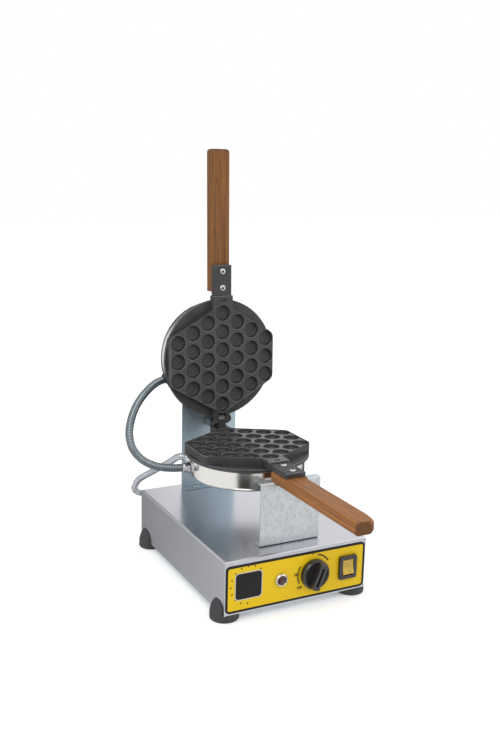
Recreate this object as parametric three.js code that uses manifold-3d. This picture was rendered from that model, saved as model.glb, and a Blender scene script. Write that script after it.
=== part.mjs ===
// Rotating bubble waffle maker: a stainless case on four rubber feet carries two cast irons on a front
// cradle and a rear pivot. The lower iron turns on the pivot, and the lid iron is hinged to its rear.
// Millimetres, +Z up, the front of the case faces -Y, the floor is at z = 0. The lid stands open.
import * as THREE from "three";
import { mergeVertices } from "three/addons/utils/BufferGeometryUtils.js";
import Module from "manifold-3d";

const wasm = await Module();
wasm.setup();

// Driving dimensions of the case
const CASE_WIDTH = 230;
const CASE_DEPTH = 320;
const CASE_HEIGHT = 80;
const FOOT_HEIGHT = 12;
const SHEET = 1.5;
const GAP = 0.3;
const FRONT_LIP = 4;
const REAR_LIP = 8;

// Driving dimensions of the irons
const CELL_PITCH = 29.6;
const CELL_RADIUS = 12.4;
const CELL_FLOOR_RADIUS = 8;
const CELL_DEPTH = 9;
const CELL_MARGIN = 14;
const COLUMN_CELLS = [3, 4, 5, 6, 5, 4, 3];
const FIELD_DROP = 0.8;
const EDGE_RIDGE = 1.8;
const HEX_DEPTH = 13;
const HEX_BEVEL = 1.6;
const CAST_DEPTH = 20;
const FLANGE_RADIUS = 95.5;
const SKIRT_RADIUS = 92;
const FLANGE_THICK = 6;
const DRUM_RADIUS = 89;
const DRUM_DEPTH = 30;
const DRUM_WALL = 1.2;
const DRUM_ROUND = 6;
const IRON_SETBACK = 164;
const IRON_LIFT = 112;

// Driving dimensions of the hinge, the pivot and the handles
const HINGE_CLEARANCE = 11;
const HINGE_RISE = 12;
const HINGE_WIDTH = 28;
const KNUCKLE_WIDTH = 12;
const KNUCKLE_RADIUS = 8.5;
const PIN_RADIUS = 4;
const PIN_HEAD_RADIUS = 6;
const OPEN_ANGLE = 92;
const PIVOT_RADIUS = 6;
const NECK_WIDTH = 35;
const NECK_END = 102;
const TANG_WIDTH = 32;
const TANG_END = 150;
const TANG_DROP = 3;
const TANG_THICK = 7.5;
const WOOD_WIDTH = 33;
const WOOD_THICK = 18;
const WOOD_START = 108;
const WOOD_END = 328;
const WOOD_CHAMFER = 4;
const WOOD_END_ROUND = 13;
const HANDLE_SCREW_REACHES = [114, 140];

// Driving dimensions of the brackets
const REAR_BRACKET_WIDTH = 98;
const REAR_BRACKET_STAND = 24.5;
const REAR_BRACKET_OVER_AXIS = 42;
const REAR_BRACKET_FOOT = 20;
const REAR_BRACKET_CORNER = 10;
const FRONT_BRACKET_WIDTH = 97;
const FRONT_BRACKET_SETBACK = 26;
const FRONT_BRACKET_HEIGHT = 94;
const FRONT_BRACKET_FOOT = 18.5;
const FRONT_BRACKET_LEDGE = 12.5;
const CRADLE_RADIUS = 33;
const BRACKET_CORNER = 4;

// Driving dimensions of the feet, controls and conduits
const FOOT_RADIUS = 21;
const FOOT_INSET_X = 10.5;
const FOOT_INSET_Y = 21;
const FOOT_TONGUE = 23;
const LABEL_SIDE_MARGIN = 1.5;
const LABEL_TOP_MARGIN = 5;
const LABEL_THICK = 0.6;
const LABEL_BORDER = 3.2;
const LABEL_ROUND = 7;
const CONTROL_HEIGHT = 39;
const LAMP_PLACE_SHARE = -0.1174;
const KNOB_PLACE_SHARE = 0.1161;
const SWITCH_SIDE = 32;
const LAMP_RADIUS = 10;
const KNOB_RADIUS = 22;
const KNOB_DEPTH = 19;
const SWITCH_WIDTH = 30;
const SWITCH_HEIGHT = 36;
const SWITCH_DEPTH = 24;
const FITTING_RADIUS = 7;
const FITTING_REACH = 11;
const LID_FITTING_REACH = 5;
const FITTING_NUT = 4;
const GLAND_REACH = 18;
const HOSE_RADIUS = 6.3;
const SUPPLY_RADIUS = 5.5;
const RIB_PITCH = 5;
const RIB_HEIGHT = 0.9;
const RIB_POINTS = 8;
const RIBS_PER_BORE_RING = 5;
const HOSE_BORE_SHARE = 0.7;
const CURVE_SEGMENTS = 20;
const DRUM_SEGMENTS = 32;

// Driving dimensions of the cells, the castings' details and the heaters
const HEX_CORNER = 7;
const CELL_SEGMENTS = 10;
const CELL_MOUTH = 2;
const CELL_SHOULDER_SHARE = 0.7;
const NECK_SLOT = { x: 5, y: 2.2, reach: 95, deep: 2.4 };
const HANDLE_SCREW_RADIUS = 2.4;
const STUD_RADIUS = 3;
const STUD_END = 8;
const BOSS_RADIUS = 11;
const BOSS_LENGTH = 8;
const LUG_WIDTH = 26;
const LUG_FRONT = 72;
const EAR_GAP = 0.5;
const HEATER_INNER = 34;
const HEATER_OUTER = 72;
const HEATER_THICK = 8;
const TERMINAL_RADIUS = 2;
const TERMINAL_LENGTH = 7;
const INSULATION_THICK = 5;
const INSULATION_RADIUS = 80;
const HEATER_POST_REACH = 51;

// Driving dimensions of the screws, glands, vents and feet
const WOOD_HOLE_DEPTH = 14;
const SCREW_SHANK = 2;
const BRACKET_HEAD = 4.6;
const BRACKET_HEAD_HEIGHT = 2.6;
const REAR_SCREW_X = 27.5;
const FRONT_SCREW_X = 36;
const CONDUIT_ENTRY_X = -34;
const MAINS_ENTRY_X = 60;
const GLAND_THREAD = 5.5;
const VENT_WIDTH = 3;
const VENT_HEIGHT = 18;
const VENT_PITCH = 9;
const VENT_COUNT = 7;
const FOOT_RECESS_RADIUS = 6.5;
const FOOT_RECESS_DEPTH = 6;
const FOOT_EDGE = 2;
const BUSH_OUTER = 9;
const BUSH_FLANGE = 13;
const BUSH_FLANGE_THICK = 3;
const PIVOT_NUT_THICK = 6;
const PIVOT_NUT_ACROSS = 18;
const PIVOT_END = 8;
const ENTRY_HEIGHT = 38;
const HANDLE_HEAD = { radius: 4, height: 2.1, shank: 2.4, length: 18 };
const DRUM_NUT = { across: 10, height: 5 };
const TERMINAL_BLOCK = { width: 60, depth: 22, height: 16, ways: 5 };

// Driving dimensions of the lamp, the thermostat, the knob and the switch
const LAMP_NECK = 6;
const BUSH_RADIUS = 5;
const SWITCH_BODY_WIDTH = 24;
const SWITCH_BODY_HEIGHT = 30;
const LAMP_RISE = 4;
const LENS_RADIUS = 6.6;
const LAMP_BODY_LENGTH = 20;
const THERMOSTAT = { width: 44, depth: 24, height: 36 };
const SPINDLE_RADIUS = 3;
const SPINDLE_FLAT = 1.2;
const BUSH_PROUD = 4;
const SPINDLE_PROUD = 13;
const KNOB_SKIRT = 9;
const GRIP_WIDTH = 12;
const GROOVE_WIDTH = 3.6;
const GROOVE_DEPTH = 5;
const KNOB_WALL = 2.2;
const KNOB_TILT = 22;
const KNOB_STEP = 2;
const BEZEL_RISE = 4.5;
const POCKET_WIDTH = 19;
const POCKET_HEIGHT = 25;
const POCKET_DEPTH = 14;
const ROCKER_DISH = 40;
const ROCKER_TIP = 7;
const ROCKER_RANGE = 14;
const BEZEL_ROUND = 3;

// Driving angles of the conduits' fittings, in degrees from the left
const LOWER_HOSE_ANGLE = 15;
const SUPPLY_HOSE_ANGLE = 45;
const LID_HOSE_ANGLE = 20;

// Shares of one size that give another
const NECK_ROOT_SHARE = 0.7;
const STUB_SHARE = 0.7;
const COLLAR_SHARE = 1.15;
const BORE_SHARE = 0.73;
const THREAD_REACH_SHARE = 1.5;
const FITTING_HEIGHT_SHARE = 0.448;
const MAINS_GLAND_SHARE = 1.1;
const HEAD_SIDE_SHARE = 0.45;
const HEAD_CROWN_SHARE = 0.72;
const RECESS_DEPTH_SHARE = 0.45;
const RECESS_REACH_SHARE = 0.62;
const RECESS_WIDTH_SHARE = 0.14;
const TOP_CHAMFER_SHARE = 0.6;
const REAR_SCREW_SHARE = 0.55;
const FRONT_SCREW_SHARE = 0.6;
const RING_SIDE_SHARE = 0.4;
const RING_CROWN_SHARE = 0.86;
const LENS_SIDE_SHARE = 0.7;
const LENS_CROWN_SHARE = 0.6;
const LENS_SHOULDER_SHARE = 1.05;
const LENS_RISE_SHARE = 1.2;
const LAMP_BODY_SHARE = 1.4;
const GROOVE_REACH_SHARE = 0.72;
const ROCKER_FRONT_SHARE = 1.1;
const DISH_CENTRE_SHARE = 0.97;
const TERMINAL_PLACE_SHARE = 0.2;

// Places worked out from the dimensions above
const HINGE_REACH = DRUM_RADIUS + HINGE_CLEARANCE;
const BOSS_END = HINGE_REACH + KNUCKLE_RADIUS + BOSS_LENGTH;
const REAR_BRACKET_SETBACK = IRON_SETBACK + BOSS_END + REAR_BRACKET_STAND;
const LABEL_WIDTH = CASE_WIDTH - LABEL_SIDE_MARGIN * 2;
const LABEL_HEIGHT = CASE_HEIGHT - LABEL_TOP_MARGIN * 2;
const LAMP_X = CASE_WIDTH * LAMP_PLACE_SHARE;
const KNOB_X = CASE_WIDTH * KNOB_PLACE_SHARE;
const SWITCH_X = CASE_WIDTH / 2 - SWITCH_SIDE;
const CASE_BOTTOM = FOOT_HEIGHT;
const CASE_TOP = CASE_BOTTOM + CASE_HEIGHT;
const CASE_FRONT = (WOOD_END - IRON_SETBACK - CASE_DEPTH - GLAND_REACH) / 2;
const CASE_REAR = CASE_FRONT + CASE_DEPTH;
const INNER_HALF_WIDTH = CASE_WIDTH / 2 - SHEET - GAP;
const AXIS_Z = CASE_TOP + IRON_LIFT;
const IRON_Y = CASE_FRONT + IRON_SETBACK;
const PANEL_FRONT = CASE_FRONT + GAP;
const CONTROL_Z = CASE_BOTTOM + CONTROL_HEIGHT;
const HEX_WALL = CELL_PITCH * 3 * Math.cos(Math.PI / 6) + CELL_MARGIN;
const HEX_SLANT = CELL_PITCH * 2.5 * Math.cos(Math.PI / 6) + CELL_MARGIN;
const IRON_HALF = CAST_DEPTH + DRUM_DEPTH;
const WOOD_TOP = TANG_DROP + TANG_THICK + GAP;

// Materials, one per finish
const FINISHES = {
  brushed_steel: [0xb9bbbd, 0.38, 1],
  drum_steel: [0xc4c3bf, 0.25, 1],
  zinc_plate: [0x9fb0b8, 0.3, 1],
  galvanised: [0xb8c2cc, 0.5, 0.9],
  cast_nonstick: [0x35353a, 0.6, 0.1],
  beech: [0xa8704a, 0.6, 0],
  rubber: [0x1c1c1e, 0.85, 0],
  yellow_label: [0xf2c80c, 0.45, 0],
  black_label: [0x222222, 0.5, 0],
  black_plastic: [0x232326, 0.5, 0],
  amber_plastic: [0xd9b52c, 0.25, 0],
  red_lens: [0x5a1018, 0.2, 0],
  chrome: [0xd0d2d4, 0.12, 1],
  screw_steel: [0xc9ccd0, 0.25, 1],
  conduit_steel: [0x93a2aa, 0.35, 1],
  brass: [0xc8a552, 0.3, 1],
  ceramic: [0xe6e0d4, 0.7, 0],
  mineral_wool: [0xcdbf9a, 0.95, 0],
};

// Turns a closed geometry into a solid that can be cut and joined.
function solidOf(geometry) {
  const bare = geometry.clone();
  bare.deleteAttribute("normal");
  bare.deleteAttribute("uv");
  const merged = mergeVertices(bare, 1e-4);
  return new wasm.Manifold(
    new wasm.Mesh({
      numProp: 3,
      vertProperties: Float32Array.from(merged.attributes.position.array),
      triVerts: Uint32Array.from(merged.index.array),
    }),
  );
}

// Turns a solid back into a geometry with flat faces.
function geometryOf(solid) {
  const mesh = solid.getMesh();
  const geometry = new THREE.BufferGeometry();
  geometry.setAttribute("position", new THREE.BufferAttribute(Float32Array.from(mesh.vertProperties), 3));
  geometry.setIndex(new THREE.BufferAttribute(Uint32Array.from(mesh.triVerts), 1));
  const flat = geometry.toNonIndexed();
  flat.computeVertexNormals();
  return flat;
}

// A block between two opposite corners.
function block(x0, x1, y0, y1, z0, z1) {
  const geometry = new THREE.BoxGeometry(x1 - x0, y1 - y0, z1 - z0);
  geometry.translate((x0 + x1) / 2, (y0 + y1) / 2, (z0 + z1) / 2);
  return solidOf(geometry);
}

// A round bar along one axis between two places on it.
function bar(axis, radius, from, to, u = 0, v = 0, segments = CURVE_SEGMENTS) {
  const geometry = new THREE.CylinderGeometry(radius, radius, to - from, segments);
  geometry.translate(0, (from + to) / 2, 0);
  if (axis === "x") {
    geometry.rotateZ(-Math.PI / 2);
    geometry.translate(0, u, v);
  }
  if (axis === "y") geometry.translate(u, 0, v);
  if (axis === "z") {
    geometry.rotateX(Math.PI / 2);
    geometry.translate(u, v, 0);
  }
  return solidOf(geometry);
}

// A body of revolution about Z from closed [radius, height] points given from the bottom up, outside first.
function turned(profile, segments = CURVE_SEGMENTS) {
  const points = profile.map(([r, z]) => new THREE.Vector2(r, z));
  const geometry = new THREE.LatheGeometry(points, segments);
  geometry.rotateX(Math.PI / 2);
  const solid = solidOf(geometry);
  if (solid.volume() > 0) return solid;
  const inside = solidOf(geometry.clone().scale(1, 1, -1));
  return inside.scale([1, 1, -1]);
}

// A flat outline drawn in X and Z and given a thickness along Y.
function upright(shape, y0, y1, segments = 6) {
  const geometry = new THREE.ExtrudeGeometry(shape, {
    depth: y1 - y0,
    bevelEnabled: false,
    curveSegments: segments,
  });
  geometry.rotateX(Math.PI / 2);
  geometry.translate(0, y1, 0);
  return solidOf(geometry);
}

// A flat outline drawn in X and Y and given a height along Z.
function slab(shape, z0, z1, segments = 6) {
  const geometry = new THREE.ExtrudeGeometry(shape, {
    depth: z1 - z0,
    bevelEnabled: false,
    curveSegments: segments,
  });
  geometry.translate(0, 0, z0);
  return solidOf(geometry);
}

// A rectangle with round corners about a centre.
function roundedRectangle(cx, cy, width, height, radius) {
  const x0 = cx - width / 2;
  const x1 = cx + width / 2;
  const y0 = cy - height / 2;
  const y1 = cy + height / 2;
  const shape = new THREE.Shape();
  shape.moveTo(x0 + radius, y0);
  shape.lineTo(x1 - radius, y0);
  shape.absarc(x1 - radius, y0 + radius, radius, -Math.PI / 2, 0);
  shape.lineTo(x1, y1 - radius);
  shape.absarc(x1 - radius, y1 - radius, radius, 0, Math.PI / 2);
  shape.lineTo(x0 + radius, y1);
  shape.absarc(x0 + radius, y1 - radius, radius, Math.PI / 2, Math.PI);
  shape.lineTo(x0, y0 + radius);
  shape.absarc(x0 + radius, y0 + radius, radius, Math.PI, Math.PI * 1.5);
  return shape;
}

const object = new THREE.Group();
object.name = "rotating_bubble_waffle_maker";

// Adds one named piece with its finish.
function piece(name, solid, finish) {
  const [color, roughness, metalness] = FINISHES[finish];
  const material = new THREE.MeshStandardMaterial({ color, roughness, metalness });
  material.name = finish;
  const mesh = new THREE.Mesh(geometryOf(solid), material);
  mesh.name = name;
  object.add(mesh);
  return solid;
}

// Cell centres: seven columns along the handle, each half a pitch out of step with the next.
function cellCentres() {
  const middle = (COLUMN_CELLS.length - 1) / 2;
  return COLUMN_CELLS.flatMap((count, column) => {
    const x = (column - middle) * CELL_PITCH * Math.cos(Math.PI / 6);
    return Array.from({ length: count }, (_, row) => [x, (row - (count - 1) / 2) * CELL_PITCH]);
  });
}

// The iron's six-sided outline, two walls parallel to the handle, with softened corners.
function hexOutline(inset) {
  const wall = HEX_WALL - inset;
  const slant = HEX_SLANT - inset;
  const half = (slant - wall / 2) / Math.cos(Math.PI / 6);
  const tip = slant / Math.cos(Math.PI / 6);
  const corners = [[wall, -half], [wall, half], [0, tip], [-wall, half], [-wall, -half], [0, -tip]];
  const shape = new THREE.Shape();
  corners.forEach(([x, y], i) => {
    const here = new THREE.Vector2(x, y);
    const before = new THREE.Vector2(...corners[(i + 5) % 6]);
    const after = new THREE.Vector2(...corners[(i + 1) % 6]);
    const enter = here.clone().add(before.sub(here).setLength(HEX_CORNER));
    const leave = here.clone().add(after.sub(here).setLength(HEX_CORNER));
    if (i === 0) shape.moveTo(enter.x, enter.y);
    else shape.lineTo(enter.x, enter.y);
    shape.quadraticCurveTo(x, y, leave.x, leave.y);
  });
  shape.closePath();
  return shape;
}

// One cup: a round wall that closes in to a small level floor, open above.
function cellCup() {
  const shoulder = CELL_FLOOR_RADIUS + (CELL_RADIUS - CELL_FLOOR_RADIUS) * CELL_SHOULDER_SHARE;
  return turned(
    [
      [0, -CELL_DEPTH],
      [CELL_FLOOR_RADIUS, -CELL_DEPTH],
      [shoulder, -CELL_DEPTH * CELL_SHOULDER_SHARE],
      [CELL_RADIUS, 0],
      [CELL_RADIUS, CELL_MOUTH],
      [0, CELL_MOUTH],
    ],
    CELL_SEGMENTS,
  );
}

// One cast half with its hinge's lugs, face up at z = 0, the handle towards -Y.
function castHalf(lugs) {
  const face = -GAP;
  const upper = slab(hexOutline(0), -HEX_DEPTH, face - HEX_BEVEL / 2, 2);
  const lipped = slab(hexOutline(HEX_BEVEL / 2), -HEX_DEPTH, face, 2);
  const round = turned(
    [
      [0, -CAST_DEPTH],
      [SKIRT_RADIUS, -CAST_DEPTH],
      [SKIRT_RADIUS, -HEX_DEPTH - FLANGE_THICK],
      [FLANGE_RADIUS, -HEX_DEPTH - FLANGE_THICK + HEX_BEVEL],
      [FLANGE_RADIUS, -HEX_DEPTH],
      [0, -HEX_DEPTH + GAP],
    ],
    DRUM_SEGMENTS,
  );
  const neckRoot = -HEX_WALL * NECK_ROOT_SHARE;
  const neckLow = -CAST_DEPTH + TANG_THICK;
  const neck = block(-NECK_WIDTH / 2, NECK_WIDTH / 2, -NECK_END, neckRoot, neckLow, face);
  const tang = block(
    -TANG_WIDTH / 2,
    TANG_WIDTH / 2,
    -TANG_END,
    -NECK_END + TANG_THICK,
    -TANG_DROP - TANG_THICK,
    -TANG_DROP,
  );
  const stud = bar("z", STUD_RADIUS, -IRON_HALF - STUD_END, -CAST_DEPTH + STUD_RADIUS, 0, 0, 8);
  let half = upper.add(lipped).add(round).add(neck).add(tang).add(stud).add(lugs);
  half = half.subtract(slab(hexOutline(EDGE_RIDGE + HEX_BEVEL / 2), face - FIELD_DROP, face + CELL_MOUTH, 1));
  const cup = cellCup();
  const cups = cellCentres().map(([x, y]) => cup.translate([x, y, face]));
  half = half.subtract(wasm.Manifold.union(cups));
  const slot = NECK_SLOT;
  half = half.subtract(
    block(-slot.x, slot.x, -slot.reach - slot.y, -slot.reach + slot.y, face - slot.deep, face + slot.deep),
  );
  for (const reach of HANDLE_SCREW_REACHES) {
    const hole = HANDLE_SCREW_RADIUS + GAP;
    half = half.subtract(bar("z", hole, -CAST_DEPTH, 0, 0, -reach, 10));
  }
  return half;
}

// Lower iron: its knuckle stands up between the lid's ears, and its rear boss takes the pivot.
function lowerCasting() {
  const knuckleRear = HINGE_REACH + KNUCKLE_RADIUS;
  const lug = block(
    -LUG_WIDTH / 2,
    LUG_WIDTH / 2,
    LUG_FRONT,
    knuckleRear + EAR_GAP * 2,
    -CAST_DEPTH + HEX_BEVEL,
    -GAP,
  );
  const stem = block(
    -KNUCKLE_WIDTH / 2,
    KNUCKLE_WIDTH / 2,
    HINGE_REACH - KNUCKLE_RADIUS,
    knuckleRear,
    -HEX_DEPTH,
    HINGE_RISE,
  );
  const eye = bar("x", KNUCKLE_RADIUS, -KNUCKLE_WIDTH / 2, KNUCKLE_WIDTH / 2, HINGE_REACH, HINGE_RISE);
  const boss = bar("y", BOSS_RADIUS, knuckleRear + EAR_GAP, knuckleRear + BOSS_LENGTH);
  const pinHole = bar("x", PIN_RADIUS + GAP, -KNUCKLE_WIDTH, KNUCKLE_WIDTH, HINGE_REACH, HINGE_RISE, 16);
  const shaftHole = bar(
    "y",
    PIVOT_RADIUS + GAP,
    HINGE_REACH,
    knuckleRear + BOSS_LENGTH * 2,
    0,
    0,
    16,
  );
  return castHalf(lug).add(stem).add(eye).add(boss).subtract(pinHole).subtract(shaftHole);
}

// Lid iron, closed over the lower one: two ears reach back round the hinge pin.
function lidCasting() {
  const inner = KNUCKLE_WIDTH / 2 + EAR_GAP;
  const outer = HINGE_WIDTH / 2;
  const arms = block(-outer, outer, LUG_FRONT, HINGE_REACH, -CAST_DEPTH, -HINGE_RISE + KNUCKLE_RADIUS);
  const eyes = bar("x", KNUCKLE_RADIUS, -outer, outer, HINGE_REACH, HINGE_RISE);
  const lid = castHalf(arms).rotate([0, 180, 0]).add(eyes);
  const clearance = KNUCKLE_RADIUS + EAR_GAP * 4;
  const pinHole = bar("x", PIN_RADIUS + GAP, -HINGE_WIDTH, HINGE_WIDTH, HINGE_REACH, HINGE_RISE, 16);
  const knuckleRoom = bar("x", clearance, -inner, inner, HINGE_REACH, HINGE_RISE);
  const stemFront = HINGE_REACH - clearance;
  const stemRoom = block(-inner, inner, stemFront, HINGE_REACH + clearance, -HINGE_RISE, HINGE_RISE);
  const headRoom = bar("x", PIN_HEAD_RADIUS + GAP * 2, outer, outer * 2, HINGE_REACH, HINGE_RISE);
  return lid.subtract(pinHole).subtract(knuckleRoom).subtract(stemRoom).subtract(headRoom);
}

// Moves a piece of the lower iron, or of the closed lid, to its place over the case.
function toIron(solid) {
  return solid.translate([0, IRON_Y, AXIS_Z]);
}

// Swings a piece of the closed lid up about the hinge pin and puts it in place.
function toOpenLid(solid) {
  return toIron(
    solid
      .translate([0, -HINGE_REACH, -HINGE_RISE])
      .rotate([-OPEN_ANGLE, 0, 0])
      .translate([0, HINGE_REACH, HINGE_RISE]),
  );
}

// Turns a piece made for the lower iron over, so that it faces down on the closed lid.
function turnedOver(solid) {
  return solid.rotate([0, 180, 0]);
}

// Stainless drum round the heater: a shallow pan with a rounded bottom edge.
function drum(fittings) {
  const top = -CAST_DEPTH - GAP;
  const bottom = -IRON_HALF;
  const bend = (radius, cr, cz, steps) =>
    Array.from({ length: steps + 1 }, (_, i) => {
      const a = -Math.PI / 2 + (i / steps) * (Math.PI / 2);
      return [cr + radius * Math.cos(a), cz + radius * Math.sin(a)];
    });
  const centreR = DRUM_RADIUS - DRUM_ROUND;
  const centreZ = bottom + DRUM_ROUND;
  const outside = bend(DRUM_ROUND, centreR, centreZ, 2);
  const inside = bend(DRUM_ROUND - DRUM_WALL, centreR, centreZ, 2).reverse();
  let pan = turned(
    [
      [STUD_RADIUS + GAP, bottom],
      ...outside,
      [DRUM_RADIUS, top],
      [DRUM_RADIUS - DRUM_WALL, top],
      ...inside,
      [STUD_RADIUS + GAP, bottom + DRUM_WALL],
      [STUD_RADIUS + GAP, bottom],
    ],
    DRUM_SEGMENTS,
  );
  for (const angle of fittings) {
    const stub = FITTING_RADIUS * STUB_SHARE + GAP;
    const hole = bar("x", stub, -DRUM_RADIUS - FITTING_REACH, -DRUM_RADIUS + FITTING_REACH, 0, FITTING_Z, 12);
    pan = pan.subtract(hole.rotate([0, 0, -angle]));
  }
  return pan;
}

// Ring heater with two terminal posts.
function heater() {
  const top = -CAST_DEPTH - GAP;
  const ring = turned(
    [
      [HEATER_INNER, top - HEATER_THICK],
      [HEATER_OUTER, top - HEATER_THICK],
      [HEATER_OUTER, top],
      [HEATER_INNER, top],
      [HEATER_INNER, top - HEATER_THICK],
    ],
    CURVE_SEGMENTS,
  );
  const low = top - HEATER_THICK - TERMINAL_LENGTH;
  const posts = [-1, 1].map((side) =>
    bar("z", TERMINAL_RADIUS, low, top - HEATER_THICK / 2, -HEATER_POST_REACH, side * TERMINAL_LENGTH, 8),
  );
  return ring.add(posts[0]).add(posts[1]);
}

// Insulation disc under the heater, cut away round the terminal posts.
function insulation() {
  const top = -CAST_DEPTH - HEATER_THICK - GAP * 2;
  const disc = turned(
    [
      [STUD_RADIUS + GAP, top - INSULATION_THICK],
      [INSULATION_RADIUS, top - INSULATION_THICK],
      [INSULATION_RADIUS, top],
      [STUD_RADIUS + GAP, top],
      [STUD_RADIUS + GAP, top - INSULATION_THICK],
    ],
    CURVE_SEGMENTS,
  );
  const room = TERMINAL_LENGTH + TERMINAL_RADIUS * 2;
  const x = -HEATER_POST_REACH;
  return disc.subtract(block(x - room / 2, x + room / 2, -room, room, top - room, top + room));
}

// A six-sided nut on a stud along Z.
function nut(across, hole, z0, z1, x = 0, y = 0) {
  const body = bar("z", across / 2 / Math.cos(Math.PI / 6), z0, z1, x, y, 6);
  return body.subtract(bar("z", hole, z0 - SHEET, z1 + SHEET, x, y, 8));
}

// A pan-head screw along -Z: the head's underside is at the given height, the shank goes down.
function panScrew(headRadius, headHeight, shankRadius, length) {
  const head = turned(
    [
      [0, 0],
      [headRadius, 0],
      [headRadius, headHeight * HEAD_SIDE_SHARE],
      [headRadius * HEAD_CROWN_SHARE, headHeight],
      [0, headHeight],
    ],
    10,
  );
  const shank = bar("z", shankRadius, -length, headHeight * HEAD_SIDE_SHARE, 0, 0, 6);
  const wing = headRadius * RECESS_REACH_SHARE;
  const thin = headRadius * RECESS_WIDTH_SHARE;
  const low = headHeight * (1 - RECESS_DEPTH_SHARE);
  const cross = block(-wing, wing, -thin, thin, low, headHeight * 2).add(
    block(-thin, thin, -wing, wing, low, headHeight * 2),
  );
  return head.add(shank).subtract(cross);
}

// Wooden handle: long edges chamfered, the free end rounded in plan.
function woodHandle() {
  const half = WOOD_WIDTH / 2;
  const top = -WOOD_TOP;
  const low = top - WOOD_THICK;
  const c = WOOD_CHAMFER;
  const t = WOOD_CHAMFER * TOP_CHAMFER_SHARE;
  const section = new THREE.Shape();
  section.moveTo(-half + c, low);
  section.lineTo(half - c, low);
  section.lineTo(half, low + c);
  section.lineTo(half, top - t);
  section.lineTo(half - t, top);
  section.lineTo(-half + t, top);
  section.lineTo(-half, top - t);
  section.lineTo(-half, low + c);
  section.closePath();
  const grown = upright(section, -WOOD_END, -WOOD_START);
  const r = WOOD_END_ROUND;
  const plan = new THREE.Shape();
  plan.moveTo(-half - c, -WOOD_START + c);
  plan.lineTo(-half - c, -WOOD_END + r);
  plan.lineTo(-half, -WOOD_END + r);
  plan.absarc(-half + r, -WOOD_END + r, r, Math.PI, Math.PI * 1.5, false);
  plan.absarc(half - r, -WOOD_END + r, r, -Math.PI / 2, 0, false);
  plan.lineTo(half + c, -WOOD_END + r);
  plan.lineTo(half + c, -WOOD_START + c);
  plan.closePath();
  let wood = grown.intersect(slab(plan, low - c, top + c, 4));
  for (const reach of HANDLE_SCREW_REACHES) {
    const hole = HANDLE_SCREW_RADIUS + GAP;
    wood = wood.subtract(bar("z", hole, top - WOOD_HOLE_DEPTH, top + c, 0, -reach, 10));
  }
  return wood;
}

// Conduit fitting on a drum: a hexagonal collar against the wall, a sleeve, and a threaded stub through it.
const FITTING_Z = -IRON_HALF + DRUM_DEPTH * FITTING_HEIGHT_SHARE;
function drumFitting(angle, reach) {
  const wall = DRUM_RADIUS + GAP;
  const stub = FITTING_RADIUS * STUB_SHARE;
  const sleeve = bar("x", FITTING_RADIUS, -wall - reach, -wall, 0, FITTING_Z, 12);
  const collar = bar("x", FITTING_RADIUS * COLLAR_SHARE, -wall - FITTING_NUT, -wall, 0, FITTING_Z, 6);
  const inward = FITTING_NUT * THREAD_REACH_SHARE;
  const thread = bar("x", stub, -wall - FITTING_NUT, -wall + inward, 0, FITTING_Z, 10);
  const room = turned(
    [
      [0, -IRON_HALF * 2],
      [wall, -IRON_HALF * 2],
      [wall, 0],
      [0, 0],
    ],
    DRUM_SEGMENTS,
  );
  const outside = sleeve.add(collar).subtract(room.rotate([0, 0, angle]));
  const bore = bar("x", stub * BORE_SHARE, -wall - reach * 2, 0, 0, FITTING_Z, 10);
  return outside.add(thread).subtract(bore).rotate([0, 0, -angle]);
}

// Where a drum fitting ends and which way its hose leaves, on the lower iron or on the open lid.
function fittingEnd(angle, onLid) {
  const reach = DRUM_RADIUS + GAP + (onLid ? LID_FITTING_REACH : FITTING_REACH) + GAP;
  const a = (angle * Math.PI) / 180;
  const out = new THREE.Vector3(-Math.cos(a), Math.sin(a), 0);
  const end = out.clone().multiplyScalar(reach);
  end.z = onLid ? -FITTING_Z : FITTING_Z;
  if (onLid) {
    const swing = new THREE.Matrix4().makeRotationX((-OPEN_ANGLE * Math.PI) / 180);
    end.sub(new THREE.Vector3(0, HINGE_REACH, HINGE_RISE)).applyMatrix4(swing);
    end.add(new THREE.Vector3(0, HINGE_REACH, HINGE_RISE));
    out.applyMatrix4(swing);
  }
  end.add(new THREE.Vector3(0, IRON_Y, AXIS_Z));
  return { end, out };
}

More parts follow.
